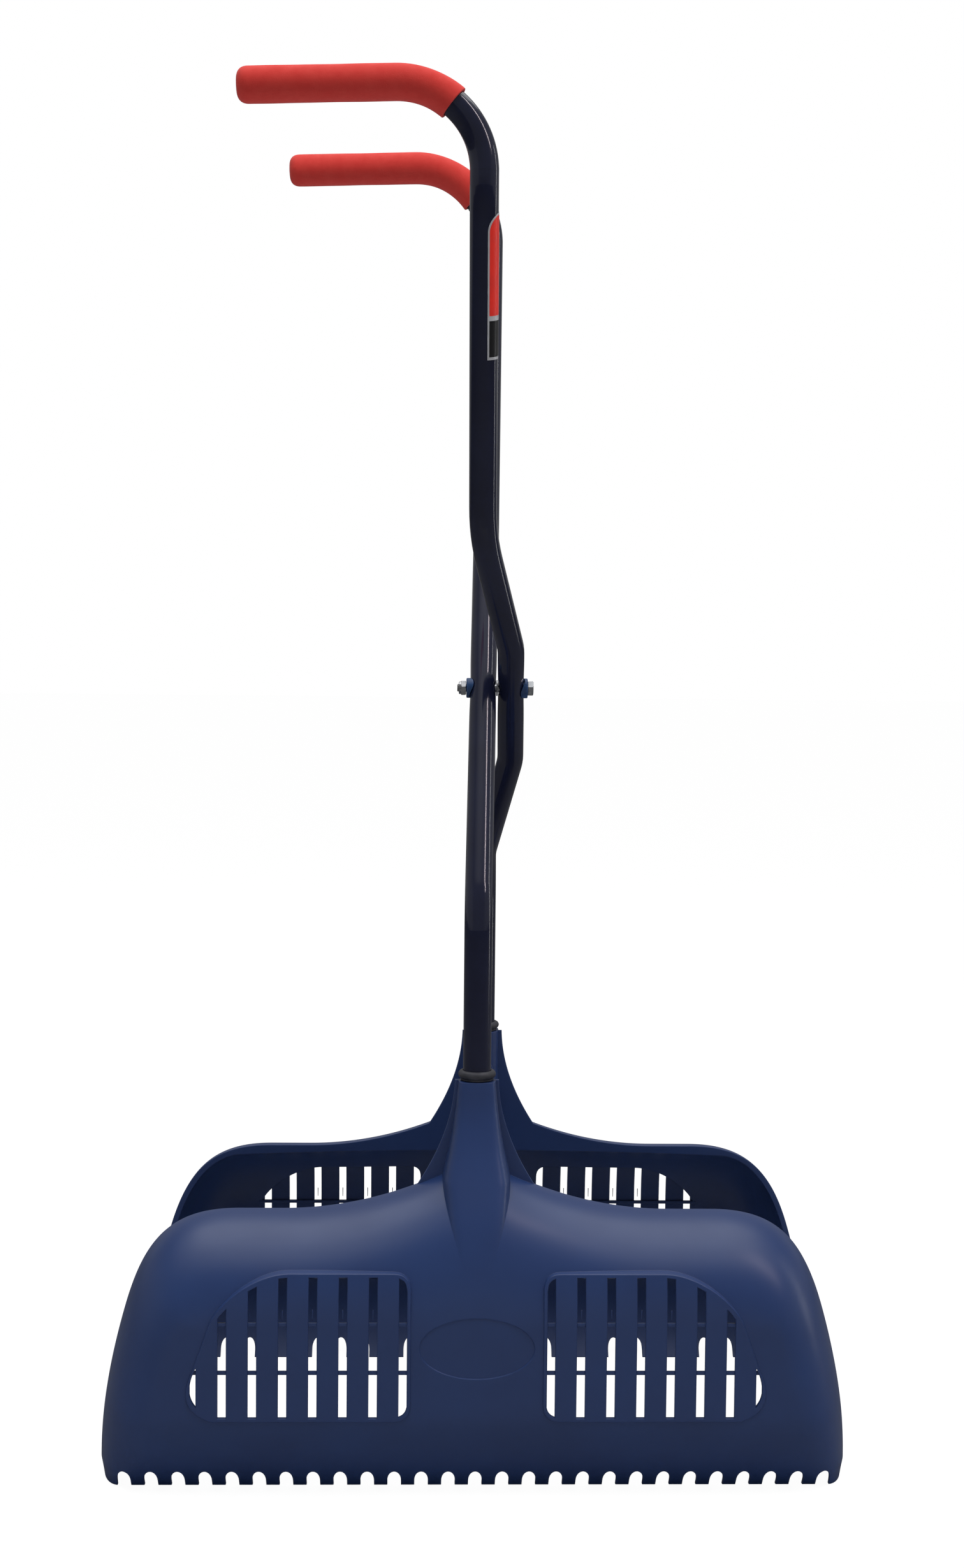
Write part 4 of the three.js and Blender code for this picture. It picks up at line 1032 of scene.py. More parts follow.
# ---------------------------------------------------------------- scoops
@dataclass(frozen=True)
class Scoop:
    """A moulded scoop, drawn with X across, Y outwards from its rim plane and Z up."""

    half_width: float = 268.0
    corner_half_width: float = 250.7
    corner_height: float = 120.0
    corner_ease: float = 47.0
    heel_in: float = 2.4
    heel_up: float = 12.0
    rim_top: float = 187.7
    rim_crown: float = 213.0
    flat_start: float = 138.0
    flat_end: float = 170.0
    crown_half_width: float = 25.0
    depth: float = 72.0
    wall: float = 2.6
    back_edge: float = 0.5
    shelf_rise: float = 68.0
    side_round: float = 40.0
    foot_square: float = 25.0
    foot_rise: float = 50.0
    lip_height: float = 58.0
    lip_inset: float = 29.0
    lip_curl: float = 1.8
    flange: float = 2.4
    flange_top: float = 8.0
    flange_side: float = 4.5
    mouth_rise: float = 38.0
    mouth_reach: float = 24.0
    mouth_end: float = 192.0
    mouth_crown: float = 4.0
    tooth_pitch: float = 19.0
    tooth_gap: float = 9.5
    tooth_depth: float = 13.3
    tooth_arch: float = 8.6
    tooth_gaps: int = 27
    pad_stand: float = 1.0
    pad_lean: float = 5.5
    pad_lean_from: float = 125.0
    window_top: float = 158.5
    window_bottom: float = 55.5
    window_inner: float = 46.0
    window_outer: float = 205.0
    window_corner: float = 12.0
    window_top_end: float = 130.0
    # The window's outer end, in from its outermost line: down from its top, then up from its foot.
    window_shoulder: Pairs = ((53.0, 0.0), (29.0, 16.0), (20.5, 32.0))
    window_heel: Pairs = ((7.0, 33.0), (-1.0, 15.0), (6.0, 5.0), (21.0, 0.0))
    window_frame: float = 2.6
    window_core: tuple[float, float, float, float] = (78.0, 150.0, 103.0, 105.0)  # in X, then in Z
    slots: int = 8
    slot_pitch: float = 20.85
    slot_width: float = 5.8
    first_slot: float = 51.3
    rib_heights: tuple[float, float] = (123.8, 89.8)
    rib_thickness: float = 2.4
    rib_depth: float = 1.6
    badge: tuple[float, float, float] = (40.0, 21.5, 107.0)  # half width, half height, middle
    badge_recess: float = 0.8
    # The spine's half widths over the socket's radius, by height over the crown.
    spine_widths: Pairs = (
        (-89, 7), (-63, 8), (-40, 8.6), (-16, 10), (1, 11), (9, 9.2), (19, 6.8), (34, 4), (50, 1.8)
    )
    # How far it stands out of the shelf, and above it out of the socket's face, by height over the crown.
    spine_on_shelf: Pairs = ((-89, -1.2), (-75, -0.5), (-63, 0.2), (-50, 1.2), (-37, 2.9), (-24, 6.4))
    spine_on_socket: Pairs = ((-13, 32.6), (-2, 26.4), (11, 19.2), (27, 11.2), (49, 3.2))
    spine_power: float = 2 / 5
    socket_top: float = 282.0
    socket_radius: float = 13.2
    socket_depth: float = 3.0
    socket_foot: float = 209.0
    tube_foot: float = 213.0
    tube_radius: float = 10.0
    fin_thickness: float = 3.0
    fin_foot: float = 1.5
    fin_half_widths: tuple[float, float, float] = (15.8, 16.5, 42.0)  # at its top, waist and foot
    fin_heights: tuple[float, float] = (245.0, 206.0)  # of its waist and of its spread
    screw_height: float = 251.0
    screw_hole: float = 2.3
    pad_face: float = -10.9
    pad_radius: float = 8.5
    cross: tuple[float, float] = (0.55, 2.3)  # half width and reach of its arms
    shift: float = 19 / 4
    rim_reach: float = 100.0

    # ------------------------------------------------------------ outlines and depths
    def flank(self, inset: float, low: float, rise: float, reach: float, end: tuple[float, float]) -> tuple:
        """One side of an outline, as drawn() takes it: heel, cheek and shoulder.

        Args:
            inset: How far it is moved inwards.
            low: Height at which it starts.
            rise: How far the shoulder's curve is drawn on up the side.
            reach: How far it is drawn out along the top.
            end: Where it ends on the top.

        Returns:
            Its start and its three curves.
        """
        side, corner, height = self.half_width - inset, self.corner_half_width - inset, self.corner_height
        lean = 2 * (self.half_width - self.corner_half_width) / height
        heel = self.heel_in * (1 - low / self.heel_up)
        return (side - heel, low), (
            (6, (side, self.heel_up)),
            (26, (side, height / 2), (corner, height)),
            (44, (corner - lean * rise, height + rise), (end[0] + reach, end[1]), end),
        )

    def rim(self, inset: float, low: float) -> tuple[Array, Array]:
        """Half the rim, from its foot up the side and over the top to the middle.

        Args:
            inset: How far it is moved inwards.
            low: Height at which it starts.

        Returns:
            Points in X and Z, and the direction into the scoop at each.
        """
        top, crown, near = self.rim_top - inset, self.rim_crown - inset, self.crown_half_width
        lift = 2 * (self.rim_crown - self.rim_top) / (self.flat_start - near)
        peak = crown + lift * near / 2
        foot, side = self.flank(inset, low, self.corner_ease, self.corner_ease, (self.flat_end, top))
        line = drawn(foot, (
            *side,
            (6, (self.flat_start, top)),
            (30, ((self.flat_start + near) / 2, top), (near, crown)),
            (10, (near / 2, peak), (0.0, peak)),
        ))
        slope = np.abs(np.gradient(line, axis=0))
        inward = -unit(slope[:, ::-1])
        inward[line[:, 1] <= self.heel_up + 1e-6] = (-1.0, 0.0)
        inward[line[:, 0] <= self.flat_end + 1e-6] = (0.0, -1.0)
        return line, inward

    def wall_depth(self, height: Array, inset: float = 0.0) -> Array:
        """Depth of the wall: D - lip (1 - z / h)^p, less an inset square to that curve.

        Args:
            height: Heights on the wall.
            inset: How far inside its outer face.

        Returns:
            The depth at each height.
        """
        left = np.maximum(1 - height / self.lip_height, 0)
        drop = self.lip_inset * left**self.lip_curl
        slope = self.lip_curl * self.lip_inset / self.lip_height * left ** (self.lip_curl - 1)
        return self.depth - drop - inset * np.hypot(1, slope)

    def wall_face(self, flat: Array) -> Array:
        """Depth of the wall's outer face at points in X and Z."""
        return self.wall_depth(flat[:, 1])

    def pad_depth(self, flat: Array) -> Array:
        """Depth of a pad's face: D + stand - lean ((z - z0) / (top - z0))^2, at points in X and Z."""
        share = np.clip((flat[:, 1] - self.pad_lean_from) / (self.window_top - self.pad_lean_from), 0, 1)
        return self.depth + self.pad_stand - self.pad_lean * share**2

    def window(self, inset: float) -> Array:
        """The outline of the window on the +X side, from the foot of its inner edge.

        Args:
            inset: How far it is moved inwards.

        Returns:
            Points in X and Z, once round.
        """
        inner, outer = self.window_inner + inset, self.window_outer - inset
        top, bottom = self.window_top - inset, self.window_bottom + inset
        corner = self.window_corner - inset
        near = inner + corner
        heel = [(outer - x, bottom + z) for x, z in self.window_heel]
        return drawn((inner, bottom + corner), (
            (16, (inner, top - corner)),
            (9, (inner, top), (near, top)),
            (14, (self.window_top_end, top)),
            (22, *((outer - x, top - z) for x, z in self.window_shoulder)),
            (8, heel[0]),
            (18, *heel[1:]),
            (18, (near, bottom)),
            (9, (inner, bottom), (inner, bottom + corner)),
        ), closed=True)

    # ------------------------------------------------------------ shell
    def body(self, inset: float, back: float, low: float, edge: float) -> Array:
        """The solid inside the wall, moved inwards.

        Round the rim it is rim + (1 - cos a) (side nx, rise nz) at depth wall(z) sin a, a up to 90 degrees,
        where n points into the scoop. From there each row runs down the panel to the foot and home along
        the back.

        Args:
            inset: How far it lies inside the outer wall.
            back: Depth of its flat back.
            low: Height of its foot.
            edge: Rounding of the edge between its back and its sides.

        Returns:
            A closed grid, one row of points for each rim station.
        """
        rim, inward = self.rim(inset, low)
        rise = self.shelf_rise + np.maximum(0, rim[:, 1] + inset - self.rim_top)
        side = self.side_round - self.foot_square * np.maximum(1 - rim[:, 1] / self.foot_rise, 0) ** 2
        reach = (points_of(side, rise) - inset) * inward
        a = np.linspace(0.012 if edge else 0.0, math.pi / 2, 30)
        swing = rim[:, None] + reach[:, None] * (1 - np.cos(a))[None, :, None]
        edges = ((edge, 0.0), (0.3 * edge, 0.12 * edge), (0.0, edge)) if edge else ((0.0, 0.0),)
        start = np.stack([at_depth(rim + inward * d, back + e) for d, e in edges], axis=1)
        share, end = run_of(rim), swing[:, -1]
        foot = points_of(end[0, 0] * (1 - share / share[-1]), low)
        panel = end[:, None] + (foot - end)[:, None] * np.linspace(0, 1, 34)[1:, None]
        return whole(np.concatenate((
            start,
            at_depth(swing, self.wall_depth(swing[..., 1], inset) * np.sin(a)),
            at_depth(panel, self.wall_depth(panel[..., 1], inset)),
            at_depth(foot, back)[:, None],
        ), axis=1))

    def pads(self, inset: float) -> list[Array]:
        """The solids that carry the windows, with drafted sides and soft front edges.

        Args:
            inset: How far they are moved inwards, or 0 for the outer ones.

        Returns:
            The pads of both sides.
        """
        levels = (
            ((inset, 46.0), (inset, inset + 0.2), (inset, inset)) if inset else
            ((-0.6, 46.0), (-0.4, 5.5), (0.0, 0.9), (0.10, 0.4), (0.3, 0.1), (0.7, 0.0))
        )
        return both_sides(plug_of(self.window, levels, self.pad_depth, self.window_core))

    def slot_outline(self, left: float, right: float, inset: float) -> Array:
        """The outline of one slot, whose ends follow the window's frame.

        Args:
            left: Its inner side.
            right: Its outer side.
            inset: How far it is moved inwards; below 0 it is wider.

        Returns:
            Points in X and Z, once round.
        """
        frame_line = self.window(self.window_frame)
        turn = int(np.argmax(frame_line[:, 0]))
        x, wide = np.linspace(left, right, 8), np.linspace(left + inset, right - inset, 8)
        top = np.interp(x, *frame_line[: turn + 1].T) - inset
        low = np.interp(x, *frame_line[turn:][::-1].T) + inset
        t = np.linspace(0, 1, 24)[1:-1]
        up = points_of(wide[-1], low[-1] + (top[-1] - low[-1]) * t)
        down = points_of(wide[0], top[0] + (low[0] - top[0]) * t)
        return np.concatenate((points_of(wide, low), up, points_of(wide, top)[::-1], down))

    def slot_cutters(self) -> list[Array]:
        """The upright slots, each cut to the window's frame and a little wider at its face.

        Returns:
            The cutters of both sides.
        """
        first = self.window_inner + self.window_frame + 0.05
        last = self.window(self.window_frame)[:, 0].max() - 0.3
        levels = ((0.0, 50.0), (0.0, 0.45), (-0.35, 0.0), (-0.35, -2.0))
        cutters = []
        for i in range(self.slots):
            middle = self.first_slot + i * self.slot_pitch
            left, right = max(middle - self.slot_width / 2, first), min(middle + self.slot_width / 2, last)
            outline = partial(self.slot_outline, left, right)
            height = outline(0.0)[:, 1]
            core = (middle - 0.5, middle + 0.5, height.min() + 4, height.max() - 4)
            cutters += both_sides(plug_of(outline, levels, self.pad_depth, core))
        return cutters

    def ribs(self) -> list[Array]:
        """The ribs behind the slots: a rounded bar across each window at each height.

        Returns:
            The ribs of both sides.
        """
        line, bars = self.window(self.wall / 2), []
        for height in self.rib_heights:
            # The window's outer end near this height, as rows of height and X.
            near = line[(np.abs(line[:, 1] - height) < 12) & (line[:, 0] > 120)]
            far = np.interp(height, *near[np.argsort(near[:, 1])][:, ::-1].T)
            face = self.pad_depth(np.array(((0.0, height),)))[0]
            low, high, half = face - self.wall - self.rib_depth, face - self.wall / 2, self.rib_thickness / 2
            section = rounded(
                ((low, -half, 0.5), (high, -half, 0.3), (high, half, 0.3), (low, half, 0.5)), closed=True
            )
            x = np.linspace(self.window_inner + self.wall / 2, far, 12)[:, None]
            bars += both_sides(shut(points_of(x, section[:, 0], height + section[:, 1])))
        return bars

    def tooth_outline(self, middle: float, inset: float) -> Array:
        """The outline of a gap between two teeth, with its arch above.

        Args:
            middle: The gap's middle.
            inset: How far it is moved inwards; below 0 it is wider.

        Returns:
            Points in X and Z, once round.
        """
        wide, reach = self.tooth_gap / 2 - inset, 4 / 3 * (self.tooth_arch - inset)
        left, right, spring = middle - wide, middle + wide, self.tooth_depth - self.tooth_arch
        return drawn((left, -3.0), (
            (4, (right, -3.0)),
            (6, (right, spring)),
            (18, (right, spring + reach), (left, spring + reach), (left, spring)),
            (6, (left, -3.0)),
        ), closed=True)

    def tooth_cutters(self) -> list[Array]:
        """The round-topped gaps between the teeth, a little wider at the outer face.

        Returns:
            The cutters from one end to the other.
        """
        levels = ((0.0, 17.0), (0.0, 0.5), (-0.35, 0.0), (-0.35, -3.0))
        middles = (np.arange(self.tooth_gaps) - (self.tooth_gaps - 1) / 2) * self.tooth_pitch
        return [
            plug_of(partial(self.tooth_outline, x), levels, self.wall_face, (x - 0.5, x + 0.5, 0.0, 3.0))
            for x in middles
        ]

    def badge_outline(self, inset: float) -> Array:
        """The oval of the bare recess, moved inwards: x = a cos t, z = middle + b sin t."""
        (wide, high, middle), t = self.badge, round_angles(96)
        return points_of((wide - inset) * np.cos(t), middle + (high - inset) * np.sin(t))

    def badge_cutter(self) -> Array:
        """The bare oval recess, with a soft edge and floor.

        Returns:
            The cutter.
        """
        floor, middle = self.badge_recess, self.badge[2]
        levels = (
            (0.5, floor), (0.25, floor * 0.92), (0.12, floor * 0.7), (0.0, 0.22),
            (-0.12, 0.07), (-0.3, 0.0), (-0.3, -2.0),
        )
        return plug_of(self.badge_outline, levels, self.depth, (-20.0, 20.0, middle - 1, middle + 1))

    # ------------------------------------------------------------ neck
    def shelf_depth(self, height: float) -> float:
        """Depth of the curved top over the middle: D sqrt(1 - (1 - share)^2)."""
        share = np.clip((self.rim_crown - height) / (self.shelf_rise + self.rim_crown - self.rim_top), 0, 1)
        return float(self.depth * math.sqrt(1 - (1 - share) ** 2))

    def spine(self) -> Array:
        """The spine: a superellipse x = w sgn(c) |c|^p, y = d s^p, whose w and d change with height.

        Returns:
            A closed grid, one row for each height; between stations w is straight and d a cubic curve.
        """
        crown, r, neck = self.rim_crown, self.socket_radius, self.socket_depth + self.socket_radius
        widths = np.array((*((crown + z, r + w) for z, w in self.spine_widths), (self.socket_top, r)))
        height, depth = np.array((
            *((crown + z, self.shelf_depth(crown + z) + d) for z, d in self.spine_on_shelf),
            *((crown + z, neck + d) for z, d in self.spine_on_socket),
            (self.socket_top, neck),
        )).T
        z = np.linspace(height[0], self.socket_top, 90)
        slope = np.gradient(depth, height)
        i = np.clip(np.searchsorted(height, z, side="right") - 1, 0, len(height) - 2)
        span = height[i + 1] - height[i]
        t = (z - height[i]) / span
        deep = (
            (2 * t**3 - 3 * t**2 + 1) * depth[i]
            + (t**3 - 2 * t**2 + t) * span * slope[i]
            + (3 * t**2 - 2 * t**3) * depth[i + 1]
            + (t**3 - t**2) * span * slope[i + 1]
        )
        angle = np.linspace(0, math.pi, 61)
        cosine, sine = np.cos(angle), np.clip(np.sin(angle), 0, 1)
        x = np.interp(z, *widths.T)[:, None] * np.sign(cosine) * np.abs(cosine) ** self.spine_power
        return shut(points_of(x, deep[:, None] * sine**self.spine_power, z[:, None]))

    def upright(self, profile: Array) -> Array:
        """A profile of heights and radii turned about the socket's axis."""
        return revolved((0, self.socket_depth, 0), (0, 0, 1), *profile.T, 96)

    def level(self, profile: Array) -> Array:
        """A profile of distances and radii turned about the screw's axis, which points through the rim."""
        return revolved((0, 0, self.screw_height), (0, -1, 0), *profile.T)

    def socket(self) -> Array:
        """The round socket, with a rounded mouth."""
        foot, top, r = self.socket_foot, self.socket_top, self.socket_radius
        return self.upright(rounded(((foot, 0, 0), (foot, r, 0), (top, r, 0.9), (top, 0, 0)), steps=6))

    def screw_pad(self) -> Array:
        """The round pad that the screw's head seats on."""
        face, r = -self.pad_face, self.pad_radius
        return self.level(rounded(((0, 0, 0), (0, r, 0), (face, r, 0.6), (face, 0, 0))))

    def fin_outline(self, inset: float) -> Array:
        """The fin's outline, which spreads from the socket down to the rim.

        Args:
            inset: How far its sides and top are moved inwards.

        Returns:
            Points in X and Z, down one side and up the other.
        """
        narrow, waist, wide = (width - inset for width in self.fin_half_widths)
        bend, spread = self.fin_heights
        curves = ((40, (waist, bend), (wide, spread)), (8, (wide, self.rim_top - self.fin_foot)))
        side = drawn((narrow, self.socket_top - inset), curves)
        return np.concatenate((side, side[::-1] * MIRROR[:2]))

    def fin(self) -> Array:
        """The flat fin of the neck, with rounded edges.

        Returns:
            A closed grid, one row for each level of its thickness.
        """
        thick = self.fin_thickness
        edge = ((0.6, 0.0), (0.18, 0.15), (0.0, 0.6))
        levels = (*((inset, thick - drop) for inset, drop in edge), *reversed(edge))
        core = (-1.0, 1.0, self.rim_top - self.fin_foot + 3, self.socket_top - 3)
        return plug_of(self.fin_outline, levels, thick, core)

    def rim_flange(self) -> Array:
        """The flat flange behind the rim: a rounded section between the rim and the mouth's outline.

        Returns:
            A closed grid, one row for each rim station, each facing a place on the mouth's outline.
        """
        rim, _ = self.rim(0.3, 0.0)
        top, end, thick = self.rim_top - self.flange_top, self.mouth_end, self.flange
        foot, side = self.flank(self.flange_side, 0.0, self.mouth_rise, self.mouth_reach, (end, top))
        crown = top + self.mouth_crown
        mouth = drawn(foot, (*side, (60, (end / 2, crown), (0.0, crown))))
        # The rim's station over the end of the mouth's shoulder meets that end.
        knot = len(rim) - np.searchsorted(rim[::-1, 0], end)
        mark = sum(count - 1 for count, *_ in side)
        run, mouth_run = run_of(rim), run_of(mouth)
        hole = read_off(np.interp(run, run[[0, knot, -1]], mouth_run[[0, mark, -1]]), mouth_run, mouth)
        way = unit(hole - rim)
        section = (
            (rim, 0.4, 0.0), (hole, -0.8, 0.0), (hole, -0.25, 0.12), (hole, 0.0, 0.6),
            (hole, 0.0, thick - 0.5), (hole, -0.2, thick - 0.1), (hole, -0.6, thick), (rim, 0.4, thick),
        )
        return whole(np.stack([at_depth(line + way * d, y) for line, d, y in section], axis=1))

    def bores(self) -> list[Array]:
        """The bore for the tube's foot, with a chamfered mouth, and the hole for the screw.

        Returns:
            The two cutters.
        """
        r, top, foot = self.tube_radius + FIT, self.socket_top, self.tube_foot - FIT
        profile = ((foot, 0), (foot, r), (top - 0.6, r), (top, r + 0.6), (top + 2, r + 0.6), (top + 2, 0))
        return [self.upright(np.array(profile)), self.level(rod(-self.socket_depth, 12.0, self.screw_hole))]

    # ------------------------------------------------------------ pieces
    def moulding(self) -> bpy.types.Object:
        """Joins and cuts the surfaces into the whole scoop, in its own frame.

        Returns:
            The moulding, before it is put in place.
        """
        piece = piece_of("moulding", self.body(0.0, 0.0, 0.0, self.back_edge))
        steps = (
            ("pads", self.pads(0.0), Join.ADD),
            ("spine", [self.spine()], Join.ADD),
            ("hollow", [self.body(self.wall, -2.0, -2.0, 0.0)], Join.CUT),
            ("pad_hollows", self.pads(self.wall), Join.CUT),
            ("badge", [self.badge_cutter()], Join.CUT),
            ("slots", self.slot_cutters(), Join.CUT),
            ("ribs", self.ribs(), Join.ADD),
            ("teeth", self.tooth_cutters(), Join.CUT),
            ("socket", [self.socket()], Join.ADD),
            ("screw_pad", [self.screw_pad()], Join.ADD),
            ("fin", [self.fin()], Join.ADD),
            ("flange", [self.rim_flange()], Join.ADD),
            ("bores", self.bores(), Join.CUT),
        )
        for name, grids, how in steps:
            combine(piece, piece_of(name, *grids), how)
            LOG.info("scoop: %s, now %d faces", name, len(piece.data.polygons))
        return piece

    def cross_outline(self, inset: float) -> Array:
        """The outline of the screw's cross recess: one corner of three points, turned to each quarter.

        Args:
            inset: How far it is moved inwards.

        Returns:
            Points in X and Z, once round.
        """
        half, long = (size - inset for size in self.cross)
        corner, quarter = np.array(((half, long), (half, half), (long, half))), np.array(((0, -1), (1, 0)))
        turned = [corner @ np.linalg.matrix_power(quarter, k) for k in range(4)]
        return np.concatenate(turned) + (0.0, self.screw_height)

    def screw(self) -> bpy.types.Object:
        """Builds the pan-head screw, with a cross recess, in the scoop's frame.

        Returns:
            The screw, before it is put in place.
        """
        face, height, t = FIT - self.pad_face, self.screw_height, np.linspace(0, math.pi / 2, 10)
        shank = ((-5.0, 0.0), (-5.0, 1.2), (-3.8, 2.0), (face, 2.0), (face, 4.3), (face + 0.3, 4.5))
        dome = points_of(face + 1.5 + 1.1 * np.sin(t), 3.4 + 1.1 * np.cos(t))
        piece = piece_of("screw", self.level(np.concatenate((shank, dome, ((face + 2.6, 0.0),)))))
        levels = ((0.2, face + 1.2), (0.0, face + 2.2), (0.0, face + 3.5))
        cutter = plug_of(self.cross_outline, levels, 0.0, (-0.2, 0.2, height - 0.2, height + 0.2))
        combine(piece, piece_of("cross_recess", cutter), Join.CUT)
        return piece

    def placed(self, piece: bpy.types.Object, name: str, turn: int) -> bpy.types.Object:
        """A copy of a piece in place: (turn (x + shift), turn (y + reach), z).

        Args:
            piece: The piece in the scoop's frame.
            name: The copy's name.
            turn: 1 for the rear scoop, -1 for the front one, which faces the other way.

        Returns:
            The copy.
        """
        mesh = piece.data.copy()
        flat = np.empty(len(mesh.vertices) * 3, np.float32)
        mesh.vertices.foreach_get("co", flat)
        points = (flat.reshape(-1, 3) + np.array((self.shift, self.rim_reach, 0)) * MM) * (turn, turn, 1)
        mesh.vertices.foreach_set("co", points.astype(np.float32).ravel())
        mesh.update()
        return added(name, mesh)

    def build(self) -> None:
        """Builds both scoops and their screws from one moulding and one screw."""
        moulding, screw = self.moulding(), self.screw()
        for place, turn, body in (("rear", 1, Body.STEPPED), ("front", -1, Body.STRAIGHT)):
            shell = self.placed(moulding, f"{place}_scoop_moulding", turn)
            fit_out(shell, body, Slot.SCOOP, POLYPROPYLENE, f"scoop_{place}")
            pin = self.placed(screw, f"{place}_pan_screw", turn)
            fit_out(pin, body, Slot.ZINC, ZINC, f"socket_screw_{place}")
        for spent in (moulding, screw):
            bpy.data.objects.remove(spent)


# ---------------------------------------------------------------- studio
@dataclass(frozen=True)
class Softbox:
    """A rectangular lamp, sized in metres, that faces a point; radiance 1 looks white."""

    name: str
    place: tuple[float, float, float]
    target: tuple[float, float, float]
    size: tuple[float, float]
    radiance: float
    colour: str = "#FFFFFF"
    mirrored: bool = True

    def build(self) -> None:
        """Adds the lamp; its power is radiance times pi times its area."""
        lamp = bpy.data.lights.new(self.name, "AREA")
        lamp.shape = "RECTANGLE"
        lamp.size, lamp.size_y = self.size
        lamp.energy = self.radiance * math.pi * self.size[0] * self.size[1]
        lamp.color = linear(self.colour)[:3]
        holder = added(self.name, lamp)
        holder.location = self.place
        holder.visible_glossy = self.mirrored
        holder.visible_camera = False
        holder.rotation_euler = (Vector(self.target) - Vector(self.place)).to_track_quat("-Z", "Y").to_euler()


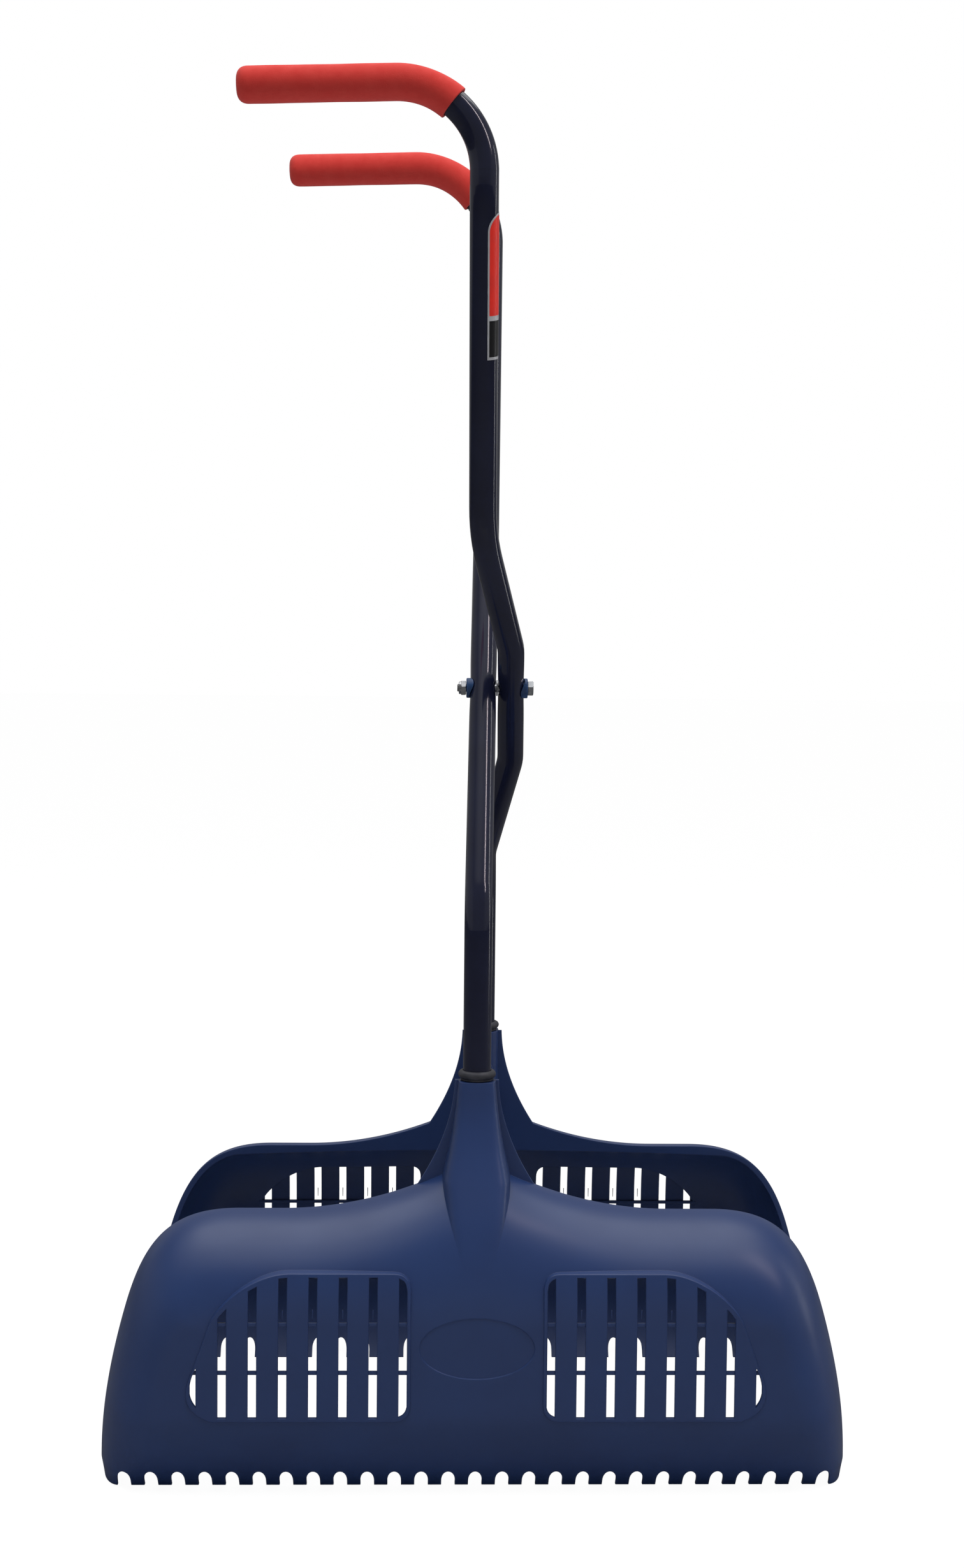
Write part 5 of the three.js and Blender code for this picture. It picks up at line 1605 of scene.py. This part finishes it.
@dataclass(frozen=True)
class Studio:
    """The floor, world, lamps and camera."""

    lamps: tuple[Softbox, ...] = (
        Softbox("overhead_softbox", (0.0, 0.65, 2.6), (0.0, 0.1, 0.3), (2.6, 1.7), 1.0),
        Softbox("scrim_key", (0.0, -0.7, 2.8), (0.0, 0.0, 0.4), (2.0, 1.2), 5.5, mirrored=False),
        Softbox("right_strip", (2.15, 0.45, 0.8), (0.0, 0.0, 0.6), (0.09, 2.2), 5.0),
        Softbox("high_strip", (1.5, -0.7, 2.2), (0.0, 0.0, 0.45), (0.09, 1.2), 20.0, "#FFF0F4"),
        Softbox("low_front_fill", (0.0, -0.9, 0.1), (0.0, 0.0, 0.12), (1.2, 0.12), 1.8, mirrored=False),
        Softbox("left_side_softbox", (-2.3, 0.0, 0.7), (0.0, 0.0, 0.4), (1.2, 1.3), 0.6, mirrored=False),
        Softbox("right_side_softbox", (2.3, 0.0, 0.7), (0.0, 0.0, 0.4), (1.2, 1.3), 1.1, mirrored=False),
    )
    sky_middle: tuple[float, float, float] = (0.0, 0.20, 0.98)
    camera_place: tuple[float, float, float] = (-49.4286, -1705.7738, 600.7067)
    yaw: float = -0.0288617
    pitch: float = 0.0660208
    roll: float = 0.0095646
    lens: float = 51.85
    sensor: float = 36.0

    def floor(self) -> None:
        """Adds a pale floor that the camera sees as white, apart from the object's shadow."""
        half = 20.0  # metres
        mesh = bpy.data.meshes.new("studio_floor")
        corners = [(-half, -half, 0), (half, -half, 0), (half, half, 0), (-half, half, 0)]
        mesh.from_pydata(corners, [], [(0, 1, 2, 3)])
        floor = added("studio_floor", mesh)
        material = bpy.data.materials.new("pale_floor")
        tree = bare_tree(material)
        path = node(tree, "ShaderNodeLightPath").outputs
        # What diffuse light, gloss and the camera find.
        bounce, dull, seen = (
            node(tree, "ShaderNodeBsdfDiffuse", {"Color": linear(grey)}).outputs[0]
            for grey in ("#C6C6C6", "#646464", "#5A5A5A")
        )
        glow = node(tree, "ShaderNodeEmission", {"Color": linear("#FFFFFF"), "Strength": 0.95})
        lit = node(tree, "ShaderNodeAddShader", {0: seen, 1: glow.outputs[0]})
        rays = {0: path["Is Camera Ray"], 1: path["Is Transmission Ray"]}
        looked = node(tree, "ShaderNodeMath", rays, operation="MAXIMUM")
        hit = node(tree, "ShaderNodeMixShader", {"Fac": path["Is Glossy Ray"], 1: bounce, 2: dull})
        faces = {"Fac": looked.outputs[0], 1: hit.outputs[0], 2: lit.outputs[0]}
        mix = node(tree, "ShaderNodeMixShader", faces)
        node(tree, "ShaderNodeOutputMaterial", {"Surface": mix.outputs[0]})
        mesh.materials.append(material)

    def world(self) -> None:
        """Sets the world: white to the camera, and for light a soft glow above and behind the object.

        Strength is a smooth step in the cosine between a direction and the middle of the glow. Gloss also
        sees the pale background behind the object and dim walls beside it.
        """
        world = bpy.data.worlds.new("studio_world")
        bpy.context.scene.world = world
        tree = bare_tree(world)
        way = node(tree, "ShaderNodeTexCoord").outputs["Generated"]
        axes = node(tree, "ShaderNodeSeparateXYZ", {"Vector": way}).outputs
        path = node(tree, "ShaderNodeLightPath").outputs
        toward = node(tree, "ShaderNodeVectorMath", {0: way, 1: self.sky_middle}, operation="DOT_PRODUCT")
        sideways = node(tree, "ShaderNodeMath", {0: axes["X"]}, operation="ABSOLUTE")
        # Each reads a value and steps from dim to bright, as the value goes from low to high.
        light, behind, beside = (
            node(
                tree,
                "ShaderNodeMapRange",
                {"Value": value, "From Min": low, "From Max": high, "To Min": dim, "To Max": bright},
                interpolation_type="SMOOTHSTEP",
            ).outputs["Result"]
            for value, low, high, dim, bright in (
                (toward.outputs["Value"], 0.64, 0.97, 0.16, 0.92),
                (axes["Y"], 0.5, 0.8, 0.0, 0.24),
                (sideways.outputs[0], 0.45, 0.85, 0.0, 0.24),
            )
        )
        gloss = light
        for wall in (behind, beside):
            gloss = node(tree, "ShaderNodeMath", {0: gloss, 1: wall}, operation="MAXIMUM").outputs[0]
        rays = {0: path["Is Glossy Ray"], 1: path["Is Transmission Ray"]}
        mirrored = node(tree, "ShaderNodeMath", rays, operation="MAXIMUM").outputs[0]
        unseen = node(tree, "ShaderNodeMix", {"Factor": mirrored, "A": light, "B": gloss}).outputs["Result"]
        sky = {"Factor": path["Is Camera Ray"], "A": unseen, "B": 1.0}
        strength = node(tree, "ShaderNodeMix", sky).outputs["Result"]
        background = node(tree, "ShaderNodeBackground", {"Color": linear("#FFFFFF"), "Strength": strength})
        node(tree, "ShaderNodeOutputWorld", {"Surface": background.outputs[0]})

    def camera(self) -> None:
        """Adds the camera at the photograph's place, turned by yaw, pitch and roll."""
        forward = Vector((
            -math.sin(self.yaw) * math.cos(self.pitch),
            math.cos(self.yaw) * math.cos(self.pitch),
            -math.sin(self.pitch),
        ))
        level = forward.cross(Vector((0, 0, 1))).normalized()
        rise = level.cross(forward)
        right = math.cos(self.roll) * level + math.sin(self.roll) * rise
        up = math.cos(self.roll) * rise - math.sin(self.roll) * level
        data = bpy.data.cameras.new("portrait_camera")
        data.lens, data.sensor_width, data.sensor_fit = self.lens, self.sensor, "AUTO"
        data.clip_start, data.clip_end = 0.05, 100.0
        camera = added("portrait_camera", data)
        turn = Matrix((right, up, -forward)).transposed()
        camera.matrix_world = Matrix.Translation(Vector(self.camera_place) * MM) @ turn.to_4x4()
        bpy.context.scene.camera = camera

    def build(self) -> None:
        """Sets up the whole studio."""
        bpy.context.scene.view_settings.view_transform = "Standard"
        self.camera()
        self.floor()
        self.world()
        for lamp in self.lamps:
            lamp.build()
        LOG.info("studio: %d lamps, floor, world and camera", len(self.lamps))


def main() -> None:
    """Builds the studio, then the object from its scoops up, and reports each piece."""
    logging.basicConfig(level=logging.INFO, format="%(name)s: %(message)s")
    Studio().build()
    Scoop().build()
    for arm in (
        Arm("rear", Body.STRAIGHT, 1, 0.0, 154.0, "tube_straight", "front", grip_turn=math.radians(53)),
        Arm("front", Body.STEPPED, -1, SCISSOR.step, 161.0, "tube_stepped", "rear"),
    ):
        arm.build()
    Sticker().build()
    Pivot().build()


if __name__ == "__main__":
    main()
